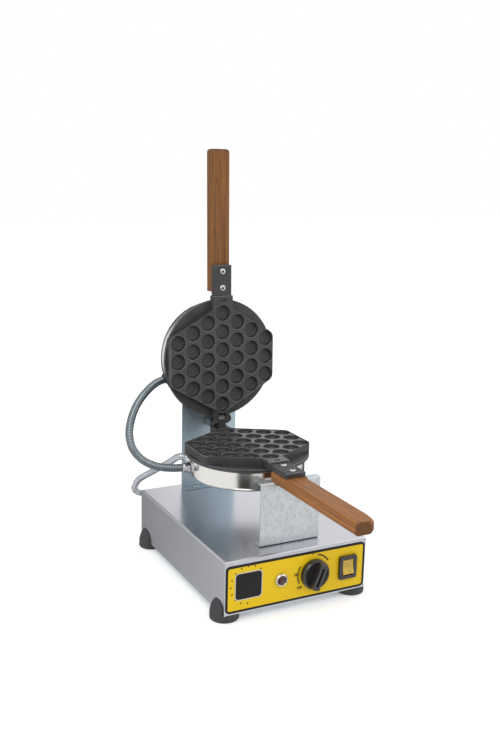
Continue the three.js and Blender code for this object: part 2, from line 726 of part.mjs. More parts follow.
// Ribbed steel conduit along a curve, with its bore: two rings a rib, and a bore ring every few ribs.
function ribbedHose(route, radius) {
  const curve = new THREE.CatmullRomCurve3(route, false, "centripetal");
  const length = curve.getLength();
  const ribs = Math.round(length / RIB_PITCH / RIBS_PER_BORE_RING) * RIBS_PER_BORE_RING;
  const frames = curve.computeFrenetFrames(ribs * 2, false);
  const positions = [];
  const index = [];
  const ring = (step, r) => {
    const centre = curve.getPointAt(step / (ribs * 2));
    const first = positions.length / 3;
    for (let k = 0; k < RIB_POINTS; k++) {
      const a = (k / RIB_POINTS) * Math.PI * 2;
      const side = frames.normals[step].clone().multiplyScalar(Math.cos(a) * r);
      side.add(frames.binormals[step].clone().multiplyScalar(Math.sin(a) * r)).add(centre);
      positions.push(side.x, side.y, side.z);
    }
    return first;
  };
  const bridge = (a, b) => {
    for (let k = 0; k < RIB_POINTS; k++) {
      const n = (k + 1) % RIB_POINTS;
      index.push(a + k, a + n, b + n, a + k, b + n, b + k);
    }
  };
  const outer = [];
  for (let step = 0; step <= ribs * 2; step++) {
    outer.push(ring(step, step % 2 === 0 ? radius - RIB_HEIGHT : radius));
  }
  const inner = [];
  for (let step = 0; step <= ribs * 2; step += RIBS_PER_BORE_RING * 2) {
    inner.push(ring(step, radius * HOSE_BORE_SHARE));
  }
  for (let i = 1; i < outer.length; i++) bridge(outer[i - 1], outer[i]);
  for (let i = 1; i < inner.length; i++) bridge(inner[i], inner[i - 1]);
  bridge(outer[outer.length - 1], inner[inner.length - 1]);
  bridge(inner[0], outer[0]);
  const geometry = new THREE.BufferGeometry();
  geometry.setAttribute("position", new THREE.Float32BufferAttribute(positions, 3));
  geometry.setIndex(index);
  const solid = solidOf(geometry);
  if (solid.volume() > 0) return solid;
  geometry.setIndex(index.map((_, i) => index[i - (i % 3) + (2 - (i % 3))]));
  return solidOf(geometry);
}

// Case: one sheet folded over top and sides, with a lip turned down over the front panel.
const WALL_X = CASE_WIDTH / 2;
const REAR_FOOT_Y = CASE_FRONT + REAR_BRACKET_SETBACK - REAR_BRACKET_FOOT * REAR_SCREW_SHARE;
const FRONT_FOOT_Y = CASE_FRONT + FRONT_BRACKET_SETBACK + FRONT_BRACKET_FOOT * FRONT_SCREW_SHARE;
const BRACKET_SCREWS = [
  ["rear_bracket_screw_left", -REAR_SCREW_X, REAR_FOOT_Y],
  ["rear_bracket_screw_right", REAR_SCREW_X, REAR_FOOT_Y],
  ["front_bracket_screw_left", -FRONT_SCREW_X, FRONT_FOOT_Y],
  ["front_bracket_screw_right", FRONT_SCREW_X, FRONT_FOOT_Y],
];
function caseShell() {
  const outer = block(-WALL_X, WALL_X, CASE_FRONT, CASE_REAR, CASE_BOTTOM, CASE_TOP);
  const inner = block(
    -WALL_X + SHEET,
    WALL_X - SHEET,
    CASE_FRONT - SHEET,
    CASE_REAR + SHEET,
    CASE_BOTTOM - SHEET,
    CASE_TOP - SHEET,
  );
  const frontLip = block(
    -WALL_X + SHEET / 2,
    WALL_X - SHEET / 2,
    CASE_FRONT,
    CASE_FRONT + SHEET,
    CASE_TOP - FRONT_LIP,
    CASE_TOP - SHEET / 2,
  );
  const rearLip = block(
    -WALL_X + SHEET / 2,
    WALL_X - SHEET / 2,
    CASE_REAR - SHEET,
    CASE_REAR,
    CASE_TOP - REAR_LIP,
    CASE_TOP - SHEET / 2,
  );
  let shell = outer.subtract(inner).add(frontLip).add(rearLip);
  for (const [, x, y] of BRACKET_SCREWS) {
    shell = shell.subtract(bar("z", SCREW_SHANK + GAP, CASE_TOP - SHEET * 2, CASE_TOP + SHEET, x, y, 8));
  }
  return shell;
}

// Front panel with the openings of the lamp, the thermostat and the switch.
const PANEL_TOP = CASE_TOP - FRONT_LIP - GAP;
function controlOpenings(solid, y0, y1) {
  const lamp = bar("y", LAMP_NECK + GAP, y0, y1, LAMP_X, CONTROL_Z, 16);
  const thermostat = bar("y", BUSH_RADIUS + GAP, y0, y1, KNOB_X, CONTROL_Z, 16);
  const w = SWITCH_BODY_WIDTH / 2 + GAP;
  const h = SWITCH_BODY_HEIGHT / 2 + GAP;
  const rocker = block(SWITCH_X - w, SWITCH_X + w, y0, y1, CONTROL_Z - h, CONTROL_Z + h);
  return solid.subtract(lamp).subtract(thermostat).subtract(rocker);
}
function frontPanel() {
  const sheet = block(
    -INNER_HALF_WIDTH,
    INNER_HALF_WIDTH,
    PANEL_FRONT,
    PANEL_FRONT + SHEET,
    CASE_BOTTOM + GAP,
    PANEL_TOP,
  );
  const foot = block(
    -INNER_HALF_WIDTH,
    INNER_HALF_WIDTH,
    PANEL_FRONT,
    PANEL_FRONT + REAR_LIP,
    CASE_BOTTOM + GAP,
    CASE_BOTTOM + GAP + SHEET,
  );
  return controlOpenings(sheet.add(foot), PANEL_FRONT - SHEET, PANEL_FRONT + SHEET * 2);
}

// Printed front label: a yellow field inside a black border with round corners.
const LABEL_Z = (CASE_BOTTOM + PANEL_TOP) / 2;
const LABEL_BACK = PANEL_FRONT - GAP;
function labelBorder() {
  const outside = roundedRectangle(0, LABEL_Z, LABEL_WIDTH, LABEL_HEIGHT, LABEL_ROUND);
  const inside = roundedRectangle(
    0,
    LABEL_Z,
    LABEL_WIDTH - LABEL_BORDER * 2,
    LABEL_HEIGHT - LABEL_BORDER * 2,
    LABEL_ROUND - LABEL_BORDER,
  );
  const y0 = LABEL_BACK - LABEL_THICK;
  return upright(outside, y0, LABEL_BACK).subtract(upright(inside, y0 - GAP, LABEL_BACK + GAP));
}
function labelField() {
  const rim = LABEL_BORDER + GAP;
  const field = roundedRectangle(
    0,
    LABEL_Z,
    LABEL_WIDTH - rim * 2,
    LABEL_HEIGHT - rim * 2,
    LABEL_ROUND - rim,
  );
  const y0 = LABEL_BACK - LABEL_THICK;
  return controlOpenings(upright(field, y0, LABEL_BACK), y0 - SHEET, LABEL_BACK + GAP / 2);
}

// Rear panel with a conduit hole, a mains hole and two rows of vent slots.
const ENTRY_Z = CASE_BOTTOM + ENTRY_HEIGHT;
function ventSlots(x, y0, y1, z0, z1) {
  return Array.from({ length: VENT_COUNT }, (_, i) => {
    const at = x + (i - (VENT_COUNT - 1) / 2) * VENT_PITCH;
    return block(at - VENT_WIDTH / 2, at + VENT_WIDTH / 2, y0, y1, z0, z1);
  });
}
function rearPanel() {
  const y1 = CASE_REAR - GAP;
  const y0 = y1 - SHEET;
  const top = CASE_TOP - REAR_LIP - GAP;
  let panel = block(-INNER_HALF_WIDTH, INNER_HALF_WIDTH, y0, y1, CASE_BOTTOM + GAP, top);
  for (const x of [CONDUIT_ENTRY_X, MAINS_ENTRY_X]) {
    panel = panel.subtract(bar("y", GLAND_THREAD + GAP, y0 - SHEET, y1 + SHEET, x, ENTRY_Z, 12));
  }
  const middle = (CONDUIT_ENTRY_X + MAINS_ENTRY_X) / 2;
  const low = ENTRY_Z - VENT_HEIGHT / 2;
  const slots = ventSlots(middle, y0 - SHEET, y1 + SHEET, low, low + VENT_HEIGHT);
  return panel.subtract(wasm.Manifold.union(slots));
}

// Base plate between the case walls, with vent slots and holes for the foot screws.
const BASE_LOW = CASE_BOTTOM + GAP * 2 + SHEET;
const FOOT_CENTRES = [
  ["front_left", -1, 0],
  ["front_right", 1, 0],
  ["rear_left", -1, 1],
  ["rear_right", 1, 1],
].map(([name, side, rear]) => ({
  name,
  side,
  x: side * (CASE_WIDTH / 2 - FOOT_INSET_X),
  y: rear ? CASE_REAR - FOOT_INSET_Y : CASE_FRONT + FOOT_INSET_Y,
}));
function basePlate() {
  const y0 = PANEL_FRONT + SHEET + GAP;
  const y1 = CASE_REAR - SHEET - GAP * 2;
  const plate = block(-INNER_HALF_WIDTH, INNER_HALF_WIDTH, y0, y1, CASE_BOTTOM, CASE_BOTTOM + SHEET);
  const clear = block(
    -CASE_WIDTH,
    CASE_WIDTH,
    CASE_FRONT,
    PANEL_FRONT + REAR_LIP + GAP,
    CASE_BOTTOM - SHEET,
    BASE_LOW,
  );
  let base = plate.subtract(clear);
  const middle = (CASE_FRONT + CASE_REAR) / 2;
  for (const x of [-CASE_WIDTH / 4, CASE_WIDTH / 4]) {
    const slots = ventSlots(x, middle - VENT_HEIGHT, middle + VENT_HEIGHT, 0, CASE_TOP / 2);
    base = base.subtract(wasm.Manifold.union(slots));
  }
  for (const foot of FOOT_CENTRES) {
    base = base.subtract(bar("z", SCREW_SHANK + GAP, 0, CASE_TOP / 2, foot.x, foot.y, 8));
  }
  return base;
}

// Rubber foot: a domed body of revolution cut by the case, so that a tongue stands up its side wall.
function rubberFoot(foot) {
  const steps = 6;
  const dome = Array.from({ length: steps + 1 }, (_, i) => {
    const a = (i / steps) * (Math.PI / 2);
    const crown = FOOT_HEIGHT - FOOT_EDGE * 2;
    return [FOOT_RADIUS * Math.cos(a), crown + (FOOT_TONGUE + FOOT_EDGE * 2) * Math.sin(a)];
  });
  dome[steps][0] = 0;
  const body = turned([[0, 0], [FOOT_RADIUS - FOOT_EDGE, 0], [FOOT_RADIUS, FOOT_EDGE], ...dome], 18);
  const wall = WALL_X + GAP;
  const beyond = FOOT_RADIUS + GAP;
  const inside = block(-wall, wall, CASE_FRONT - beyond, CASE_REAR + beyond, CASE_BOTTOM - GAP, CASE_TOP);
  const recess = bar("z", FOOT_RECESS_RADIUS, -FOOT_EDGE, FOOT_RECESS_DEPTH, foot.x, foot.y, 12);
  const hole = bar("z", SCREW_SHANK + GAP, 0, CASE_TOP, foot.x, foot.y, 8);
  return body.translate([foot.x, foot.y, 0]).subtract(inside).subtract(recess).subtract(hole);
}

// Rear bracket: a tall sheet with a foot bent forward and round upper corners, bored for the pivot bush.
function rearBracket() {
  const y0 = CASE_FRONT + REAR_BRACKET_SETBACK;
  const low = CASE_TOP + GAP;
  const top = AXIS_Z + REAR_BRACKET_OVER_AXIS;
  const w = REAR_BRACKET_WIDTH / 2;
  const r = REAR_BRACKET_CORNER;
  const outline = new THREE.Shape();
  outline.moveTo(-w, low);
  outline.lineTo(w, low);
  outline.absarc(w - r, top - r, r, 0, Math.PI / 2, false);
  outline.absarc(-w + r, top - r, r, Math.PI / 2, Math.PI, false);
  outline.closePath();
  const sheet = upright(outline, y0, y0 + SHEET, 3);
  const foot = block(-w, w, y0 - REAR_BRACKET_FOOT, y0 + SHEET, low, low + SHEET);
  let bracket = sheet.add(foot);
  bracket = bracket.subtract(bar("y", BUSH_OUTER + GAP, y0 - SHEET, y0 + SHEET * 2, 0, AXIS_Z, 16));
  for (const [name, x, y] of BRACKET_SCREWS) {
    if (!name.startsWith("rear")) continue;
    bracket = bracket.subtract(bar("z", SCREW_SHANK + GAP, low - SHEET, low + SHEET * 2, x, y, 8));
  }
  return bracket;
}

// Front bracket: a sheet with a foot and a ledge bent to the rear, and a round cradle for the neck.
function frontBracket() {
  const y0 = CASE_FRONT + FRONT_BRACKET_SETBACK;
  const low = CASE_TOP + GAP;
  const top = CASE_TOP + FRONT_BRACKET_HEIGHT;
  const w = FRONT_BRACKET_WIDTH / 2;
  const r = BRACKET_CORNER;
  const sheet = block(-w, w, y0, y0 + SHEET, low, top);
  const foot = block(-w, w, y0, y0 + FRONT_BRACKET_FOOT, low, low + SHEET);
  const ledgeRear = y0 + FRONT_BRACKET_LEDGE;
  const plan = new THREE.Shape();
  plan.moveTo(-w, y0);
  plan.lineTo(w, y0);
  plan.absarc(w - r, ledgeRear - r, r, 0, Math.PI / 2, false);
  plan.absarc(-w + r, ledgeRear - r, r, Math.PI / 2, Math.PI, false);
  plan.closePath();
  const ledge = slab(plan, top - SHEET, top, 3);
  let bracket = sheet.add(foot).add(ledge);
  const cradle = bar("y", CRADLE_RADIUS, y0 - SHEET, ledgeRear + SHEET, 0, AXIS_Z, 36);
  bracket = bracket.subtract(cradle);
  for (const [name, x, y] of BRACKET_SCREWS) {
    if (!name.startsWith("front")) continue;
    bracket = bracket.subtract(bar("z", SCREW_SHANK + GAP, low - SHEET, low + SHEET * 2, x, y, 8));
  }
  return bracket;
}

// Pivot: a flanged bush in the rear bracket, and a stepped shaft held by a washer and a nut behind it.
function pivotParts() {
  const front = CASE_FRONT + REAR_BRACKET_SETBACK;
  const rear = front + SHEET;
  const bore = PIVOT_RADIUS + GAP;
  const flange = bar("y", BUSH_FLANGE, rear + GAP, rear + GAP + BUSH_FLANGE_THICK, 0, AXIS_Z, 20);
  const barrel = bar("y", BUSH_OUTER, front - SHEET, rear + BUSH_FLANGE_THICK, 0, AXIS_Z, 16);
  const nutFront = rear + GAP * 2 + BUSH_FLANGE_THICK;
  const cut = bar("y", bore, front - SHEET * 4, nutFront + SHEET, 0, AXIS_Z, 16);
  const bush = flange.add(barrel).subtract(cut);
  const corner = PIVOT_NUT_ACROSS / 2 / Math.cos(Math.PI / 6);
  const hex = bar("y", corner, nutFront, nutFront + PIVOT_NUT_THICK, 0, AXIS_Z, 6);
  const nutBore = bar("y", bore, nutFront - SHEET, nutFront + PIVOT_NUT_THICK + SHEET, 0, AXIS_Z, 12);
  const pivotNut = hex.subtract(nutBore);
  const bossRear = IRON_Y + BOSS_END;
  const shaftRear = nutFront + PIVOT_NUT_THICK + PIVOT_END / 2;
  const shaft = bar("y", PIVOT_RADIUS, bossRear - BOSS_LENGTH, shaftRear, 0, AXIS_Z, 16);
  const shoulder = bar("y", BUSH_OUTER, bossRear + GAP, front - SHEET - GAP, 0, AXIS_Z, 16);
  return { bush, pivotNut, shaft: shaft.add(shoulder) };
}

// Hinge pin with a head at one side.
function hingePin() {
  const half = HINGE_WIDTH / 2;
  const end = half + PIN_RADIUS / 2;
  const shank = bar("x", PIN_RADIUS, -end, end, HINGE_REACH, HINGE_RISE, 16);
  const cap = bar("x", PIN_HEAD_RADIUS, half + GAP, half + PIN_RADIUS, HINGE_REACH, HINGE_RISE, 16);
  return shank.add(cap);
}

// Pilot lamp: chrome bezel with a neck through the panel, a domed lens, and a body behind the panel.
function lampParts() {
  const front = LABEL_BACK - LABEL_THICK - GAP;
  const seat = PANEL_FRONT + SHEET;
  const bezel = turned(
    [
      [LENS_RADIUS + GAP, 0],
      [LAMP_RADIUS, 0],
      [LAMP_RADIUS, LAMP_RISE * RING_SIDE_SHARE],
      [LAMP_RADIUS * RING_CROWN_SHARE, LAMP_RISE],
      [LENS_RADIUS + GAP, LAMP_RISE],
      [LENS_RADIUS + GAP, 0],
    ],
    CURVE_SEGMENTS,
  );
  const lens = turned(
    [
      [0, GAP],
      [LENS_RADIUS, GAP],
      [LENS_RADIUS, LAMP_RISE * LENS_SIDE_SHARE],
      [LENS_RADIUS * LENS_CROWN_SHARE, LAMP_RISE * LENS_SHOULDER_SHARE],
      [0, LAMP_RISE * LENS_RISE_SHARE],
    ],
    16,
  );
  const face = (solid) => solid.rotate([90, 0, 0]).translate([LAMP_X, front, CONTROL_Z]);
  const neck = bar("y", LAMP_NECK, front, seat + GAP + LAMP_BODY_LENGTH / 2, LAMP_X, CONTROL_Z, 16);
  const bodyRadius = LAMP_NECK * LAMP_BODY_SHARE;
  const body = bar("y", bodyRadius, seat + GAP, seat + LAMP_BODY_LENGTH, LAMP_X, CONTROL_Z, 12);
  return { bezel: face(bezel), lens: face(lens), body: neck.add(body) };
}

// Thermostat behind the panel: a box with a bush through the panel, and the spindle that the knob turns.
function thermostatParts() {
  const seat = PANEL_FRONT + SHEET + GAP;
  const t = THERMOSTAT;
  const box = block(
    KNOB_X - t.width / 2,
    KNOB_X + t.width / 2,
    seat,
    seat + t.depth,
    CONTROL_Z - t.height / 2,
    CONTROL_Z + t.height / 2,
  );
  const pocket = seat + t.depth / 2;
  const bush = bar("y", BUSH_RADIUS, LABEL_BACK - LABEL_THICK - BUSH_PROUD, pocket, KNOB_X, CONTROL_Z, 16);
  const hole = bar("y", SPINDLE_RADIUS + GAP, PANEL_FRONT - KNOB_DEPTH, pocket, KNOB_X, CONTROL_Z, 12);
  const front = LABEL_BACK - LABEL_THICK - SPINDLE_PROUD;
  const rod = bar("y", SPINDLE_RADIUS, front, pocket - GAP, KNOB_X, CONTROL_Z, 12);
  const flat = block(
    KNOB_X - SPINDLE_RADIUS,
    KNOB_X + SPINDLE_RADIUS,
    front - SHEET,
    LABEL_BACK - LABEL_THICK - BUSH_PROUD,
    CONTROL_Z + SPINDLE_RADIUS - SPINDLE_FLAT,
    CONTROL_Z + SPINDLE_RADIUS * 2,
  );
  return { body: box.add(bush).subtract(hole), spindle: rod.subtract(flat) };
}

// Knob: a round skirt with a raised grip bar that has a groove along it, hollow behind.
function knob() {
  const rim = KNOB_RADIUS;
  const shell = turned(
    [
      [0, 0],
      [rim, 0],
      [rim, KNOB_SKIRT - KNOB_STEP],
      [rim - KNOB_STEP, KNOB_SKIRT],
      [0, KNOB_SKIRT],
    ],
    30,
  );
  const hollow = bar("z", rim - KNOB_WALL, -KNOB_STEP, KNOB_SKIRT - KNOB_WALL, 0, 0, 24);
  const reach = rim - KNOB_STEP;
  const cheek = bar("z", reach, KNOB_SKIRT - KNOB_STEP, KNOB_DEPTH, 0, 0, 30);
  const grip = cheek.intersect(block(-GRIP_WIDTH / 2, GRIP_WIDTH / 2, -rim, rim, 0, KNOB_DEPTH * 2));
  const groove = block(
    -GROOVE_WIDTH / 2,
    GROOVE_WIDTH / 2,
    -reach * GROOVE_REACH_SHARE,
    reach * GROOVE_REACH_SHARE,
    KNOB_DEPTH - GROOVE_DEPTH,
    KNOB_DEPTH * 2,
  );
  const hub = bar("z", SPINDLE_RADIUS * 2, BUSH_PROUD - GAP, KNOB_SKIRT, 0, 0, 16);
  const socket = bar("z", SPINDLE_RADIUS + GAP, 0, SPINDLE_PROUD + GAP, 0, 0, 12);
  const body = shell.subtract(hollow).add(grip).add(hub).subtract(groove).subtract(socket);
  const front = LABEL_BACK - LABEL_THICK - GAP;
  return body.rotate([0, 0, -KNOB_TILT]).rotate([90, 0, 0]).translate([KNOB_X, front, CONTROL_Z]);
}

// Rocker switch: a housing with a raised bezel and a pocket, and the rocker that tips in it.
function switchHousing() {
  const front = LABEL_BACK - LABEL_THICK - GAP;
  const bezel = upright(
    roundedRectangle(SWITCH_X, CONTROL_Z, SWITCH_WIDTH, SWITCH_HEIGHT, BEZEL_ROUND),
    front - BEZEL_RISE,
    front,
    3,
  );
  const body = block(
    SWITCH_X - SWITCH_BODY_WIDTH / 2,
    SWITCH_X + SWITCH_BODY_WIDTH / 2,
    front - GAP,
    front + SWITCH_DEPTH,
    CONTROL_Z - SWITCH_BODY_HEIGHT / 2,
    CONTROL_Z + SWITCH_BODY_HEIGHT / 2,
  );
  const pocket = block(
    SWITCH_X - POCKET_WIDTH / 2,
    SWITCH_X + POCKET_WIDTH / 2,
    front - BEZEL_RISE * 2,
    front - BEZEL_RISE + POCKET_DEPTH,
    CONTROL_Z - POCKET_HEIGHT / 2,
    CONTROL_Z + POCKET_HEIGHT / 2,
  );
  return bezel.add(body).subtract(pocket);
}
function rocker() {
  const axisY = LABEL_BACK - LABEL_THICK - BEZEL_RISE + ROCKER_TIP;
  const w = POCKET_WIDTH / 2 - GAP;
  const reach = POCKET_HEIGHT / 2 - GAP * 5;
  const front = -ROCKER_TIP * ROCKER_FRONT_SHARE;
  const key = block(SWITCH_X - w, SWITCH_X + w, front, ROCKER_TIP / 2, -reach, reach);
  const dishY = front - ROCKER_DISH * DISH_CENTRE_SHARE;
  const dish = bar("x", ROCKER_DISH, SWITCH_X - w * 2, SWITCH_X + w * 2, dishY, 0, 60);
  const tipped = key.subtract(dish).rotate([-ROCKER_RANGE / 2, 0, 0]);
  return tipped.translate([0, axisY, CONTROL_Z]);
}

// Gland in the rear panel: a nut and sleeve outside and a thread through the sheet.
function rearGland(x, sleeveRadius, bore) {
  const wall = CASE_REAR;
  const collar = bar("y", sleeveRadius * COLLAR_SHARE, wall, wall + FITTING_NUT, x, ENTRY_Z, 6);
  const sleeve = bar("y", sleeveRadius, wall, wall + GLAND_REACH, x, ENTRY_Z, 12);
  const thread = bar("y", GLAND_THREAD, wall - SHEET * 4, wall + FITTING_NUT, x, ENTRY_Z, 12);
  const hole = bar("y", bore, wall - CASE_DEPTH, wall + CASE_DEPTH, x, ENTRY_Z, 10);
  return collar.add(sleeve).add(thread).subtract(hole);
}

// Terminal block on the base plate, where the conduits' wires meet the controls.
function terminalBlock() {
  const t = TERMINAL_BLOCK;
  const y = (CASE_FRONT + CASE_REAR) / 2 + CASE_DEPTH * TERMINAL_PLACE_SHARE;
  const z0 = CASE_BOTTOM + SHEET + GAP;
  let body = block(-t.width / 2, t.width / 2, y, y + t.depth, z0, z0 + t.height);
  for (let i = 0; i < t.ways; i++) {
    const x = -t.width / 2 + ((i * 2 + 1) * t.width) / (t.ways * 2);
    const well = bar("z", SPINDLE_RADIUS, z0 + t.height / 2, z0 + t.height * 2, x, y + t.depth / 2, 8);
    body = body.subtract(well);
  }
  return body;
}

// Builds the case and its fixed pieces.
function buildBase() {
  piece("case_shell", caseShell(), "brushed_steel");
  piece("front_panel", frontPanel(), "brushed_steel");
  piece("rear_panel", rearPanel(), "brushed_steel");
  piece("base_plate", basePlate(), "zinc_plate");
  piece("label_border", labelBorder(), "black_label");
  piece("label_field", labelField(), "yellow_label");
  for (const foot of FOOT_CENTRES) {
    piece("foot_" + foot.name, rubberFoot(foot), "rubber");
    const screw = panScrew(BRACKET_HEAD, BRACKET_HEAD_HEIGHT, SCREW_SHANK, FOOT_HEIGHT + SHEET * 2);
    const up = screw.rotate([180, 0, 0]).translate([foot.x, foot.y, FOOT_RECESS_DEPTH - GAP]);
    piece("foot_screw_" + foot.name, up, "screw_steel");
  }
  piece("rear_bracket", rearBracket(), "zinc_plate");
  piece("front_bracket", frontBracket(), "galvanised");
  for (const [name, x, y] of BRACKET_SCREWS) {
    const screw = panScrew(BRACKET_HEAD, BRACKET_HEAD_HEIGHT, SCREW_SHANK, FOOT_HEIGHT);
    piece(name, screw.translate([x, y, CASE_TOP + SHEET + GAP * 2]), "screw_steel");
  }
  piece("pivot_bush", pivotParts().bush, "brass");
  const glandBore = GLAND_THREAD * BORE_SHARE;
  piece("conduit_gland", rearGland(CONDUIT_ENTRY_X, FITTING_RADIUS, glandBore), "zinc_plate");
  const mainsGland = rearGland(MAINS_ENTRY_X, FITTING_RADIUS * MAINS_GLAND_SHARE, glandBore);
  piece("mains_gland", mainsGland, "black_plastic");
  piece("terminal_block", terminalBlock(), "ceramic");
}

// Builds the controls on the front.
function buildControls() {
  const lamp = lampParts();
  piece("lamp_bezel", lamp.bezel, "chrome");
  piece("lamp_lens", lamp.lens, "red_lens");
  piece("lamp_body", lamp.body, "black_plastic");
  const thermostat = thermostatParts();
  piece("thermostat_body", thermostat.body, "screw_steel");
  piece("thermostat_spindle", thermostat.spindle, "brass");
  piece("knob", knob(), "black_plastic");
  piece("switch_housing", switchHousing(), "black_plastic");
  piece("switch_rocker", rocker(), "amber_plastic");
}

// Builds one iron's pieces: the casting, drum, heater, insulation, drum nut, handle and its screws.
function buildIron(prefix, casting, fittings, place) {
  piece(prefix + "_plate", place(casting), "cast_nonstick");
  const flip = prefix === "lid" ? turnedOver : (solid) => solid;
  piece(prefix + "_heater", place(flip(heater())), "screw_steel");
  piece(prefix + "_insulation", place(flip(insulation())), "mineral_wool");
  const low = -IRON_HALF - GAP - DRUM_NUT.height;
  const drumNut = nut(DRUM_NUT.across, STUD_RADIUS + GAP, low, low + DRUM_NUT.height);
  piece(prefix + "_drum_nut", place(flip(drumNut)), "screw_steel");
  piece(prefix + "_handle", place(flip(woodHandle())), "beech");
  HANDLE_SCREW_REACHES.forEach((reach, i) => {
    const h = HANDLE_HEAD;
    const screw = panScrew(h.radius, h.height, h.shank, h.length).translate([0, -reach, -TANG_DROP + GAP]);
    piece(prefix + "_handle_screw_" + (i + 1), place(flip(screw)), "screw_steel");
  });
  const mirror = prefix === "lid" ? -1 : 1;
  const pan = drum(prefix === "lid" ? fittings.map((a) => 180 - a) : fittings);
  piece(prefix + "_drum", place(flip(pan)), "drum_steel");
  for (const [name, angle] of Object.entries(FITTING_NAMES[prefix])) {
    const reach = prefix === "lid" ? LID_FITTING_REACH : FITTING_REACH;
    const solid = drumFitting(mirror < 0 ? 180 - angle : angle, reach);
    piece(name, place(flip(solid)), "zinc_plate");
  }
}
const FITTING_NAMES = {
  lower: { lower_fitting: LOWER_HOSE_ANGLE, supply_fitting: SUPPLY_HOSE_ANGLE },
  lid: { lid_fitting: LID_HOSE_ANGLE },
};

// Conduit routes. The points between the fittings are placed by hand as [x, y, z] from the case's front
// middle edge at its bottom, and the ends run straight out of their fittings.
const LID_CONDUIT_POINTS = [
  [-120, 286, 254],
  [-139, 275, 238],
  [-153, 262, 220],
  [-162, 247, 200],
  [-162, 231, 181],
  [-151, 216, 166],
  [-133, 203, 158],
];
const SUPPLY_CONDUIT_POINTS = [
  [-84, 278, 135],
  [-99, 309, 113],
  [-112, 336, 93],
  [-111, 359, 75],
  [-104, 381, 58],
  [-89, 394, 46],
  [-63, 390, 41],
  [-44, 373, 39],
];
function conduitRoute(start, points, end, run) {
  const middle = points.map(([x, y, z]) => new THREE.Vector3(x, CASE_FRONT + y, CASE_BOTTOM + z));
  const head = [start.end, start.end.clone().addScaledVector(start.out, run)];
  const tail = [end.end.clone().addScaledVector(end.out, run), end.end];
  return [...head, ...middle, ...tail];
}
function buildConduits() {
  const lid = fittingEnd(LID_HOSE_ANGLE, true);
  const lower = fittingEnd(LOWER_HOSE_ANGLE, false);
  const supply = fittingEnd(SUPPLY_HOSE_ANGLE, false);
  const entry = {
    end: new THREE.Vector3(CONDUIT_ENTRY_X, CASE_REAR + GLAND_REACH + GAP, ENTRY_Z),
    out: new THREE.Vector3(0, 1, 0),
  };
  const lidRoute = conduitRoute(lid, LID_CONDUIT_POINTS, lower, HOSE_RADIUS * 2);
  const supplyRoute = conduitRoute(supply, SUPPLY_CONDUIT_POINTS, entry, SUPPLY_RADIUS * 2);
  piece("conduit_lid", ribbedHose(lidRoute, HOSE_RADIUS), "conduit_steel");
  piece("conduit_supply", ribbedHose(supplyRoute, SUPPLY_RADIUS), "conduit_steel");
}

buildBase();
buildControls();
buildIron("lower", lowerCasting(), [LOWER_HOSE_ANGLE, SUPPLY_HOSE_ANGLE], toIron);
buildIron("lid", lidCasting(), [LID_HOSE_ANGLE], toOpenLid);
piece("hinge_pin", toIron(hingePin()), "screw_steel");
piece("pivot_shaft", pivotParts().shaft, "screw_steel");
piece("pivot_nut", pivotParts().pivotNut, "screw_steel");
buildConduits();

export default object;
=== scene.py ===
"""Looks of a rotating bubble waffle maker: a folded stainless case on rubber feet carries two cast irons.

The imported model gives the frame. Each piece below is made in place over its solids, in the same frame.
Lengths in the mesh code are millimetres, and every mesh is turned to metres when it is kept.
"""

import math
from functools import partial

import bmesh
import bpy
from bpy.props import FloatProperty, FloatVectorProperty, IntProperty, PointerProperty
from mathutils import Matrix, Vector


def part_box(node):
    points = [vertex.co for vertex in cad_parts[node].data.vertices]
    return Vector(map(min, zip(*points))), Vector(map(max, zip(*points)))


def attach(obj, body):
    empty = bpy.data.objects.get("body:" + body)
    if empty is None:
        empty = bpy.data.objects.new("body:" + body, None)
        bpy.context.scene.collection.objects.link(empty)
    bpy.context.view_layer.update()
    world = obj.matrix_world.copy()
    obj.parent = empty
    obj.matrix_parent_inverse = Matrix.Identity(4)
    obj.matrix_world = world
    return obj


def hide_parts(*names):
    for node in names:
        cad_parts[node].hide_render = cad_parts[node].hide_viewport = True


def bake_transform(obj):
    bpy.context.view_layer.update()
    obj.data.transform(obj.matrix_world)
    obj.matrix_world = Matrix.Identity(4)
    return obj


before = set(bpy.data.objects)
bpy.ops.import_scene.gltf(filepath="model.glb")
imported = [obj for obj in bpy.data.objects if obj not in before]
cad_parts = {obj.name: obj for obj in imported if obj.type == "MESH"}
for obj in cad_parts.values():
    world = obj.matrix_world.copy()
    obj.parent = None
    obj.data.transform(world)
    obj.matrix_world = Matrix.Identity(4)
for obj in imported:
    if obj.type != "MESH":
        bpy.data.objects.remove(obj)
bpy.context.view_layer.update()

bl_info = {
    "name": "Rotating bubble waffle maker",
    "version": (1, 0, 0),
    "blender": (4, 5, 0),
    "location": "3D View > Sidebar > Waffle maker",
    "description": "Builds the dressed pieces of a rotating bubble waffle maker over its packed frame",
    "category": "Object",
}

MM = 0.001
QUARTER = math.radians(90)

# Places of the main pieces, in millimetres
CASE_LOW, CASE_HIGH = (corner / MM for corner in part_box("case_shell"))
IRON_Y = 77.0
AXIS_Z = 204.0
HINGE_REACH = 100.0
HINGE_RISE = 12.0
OPEN_ANGLE = math.radians(92)
CONTROL_Z = 51.0
CONTROL_FRONT = -87.9
LABEL_FRONT = -87.6
LAMP_X = -27.0
KNOB_X = 26.7
SWITCH_X = 83.0
DIAL_X = -78.2
DIAL_Z = 53.5
ENTRY_X = -34
MAINS_X = 60
ENTRY_Z = 50.0
FOOT_X = 104.5
FOOT_FRONT_Y, FOOT_REAR_Y = -66, 212

# Sheet and bores of the brackets and the pivot
BRACKET_SHEET = 1.5
CRADLE_RADIUS = 33
SHAFT_BORE = 6.3

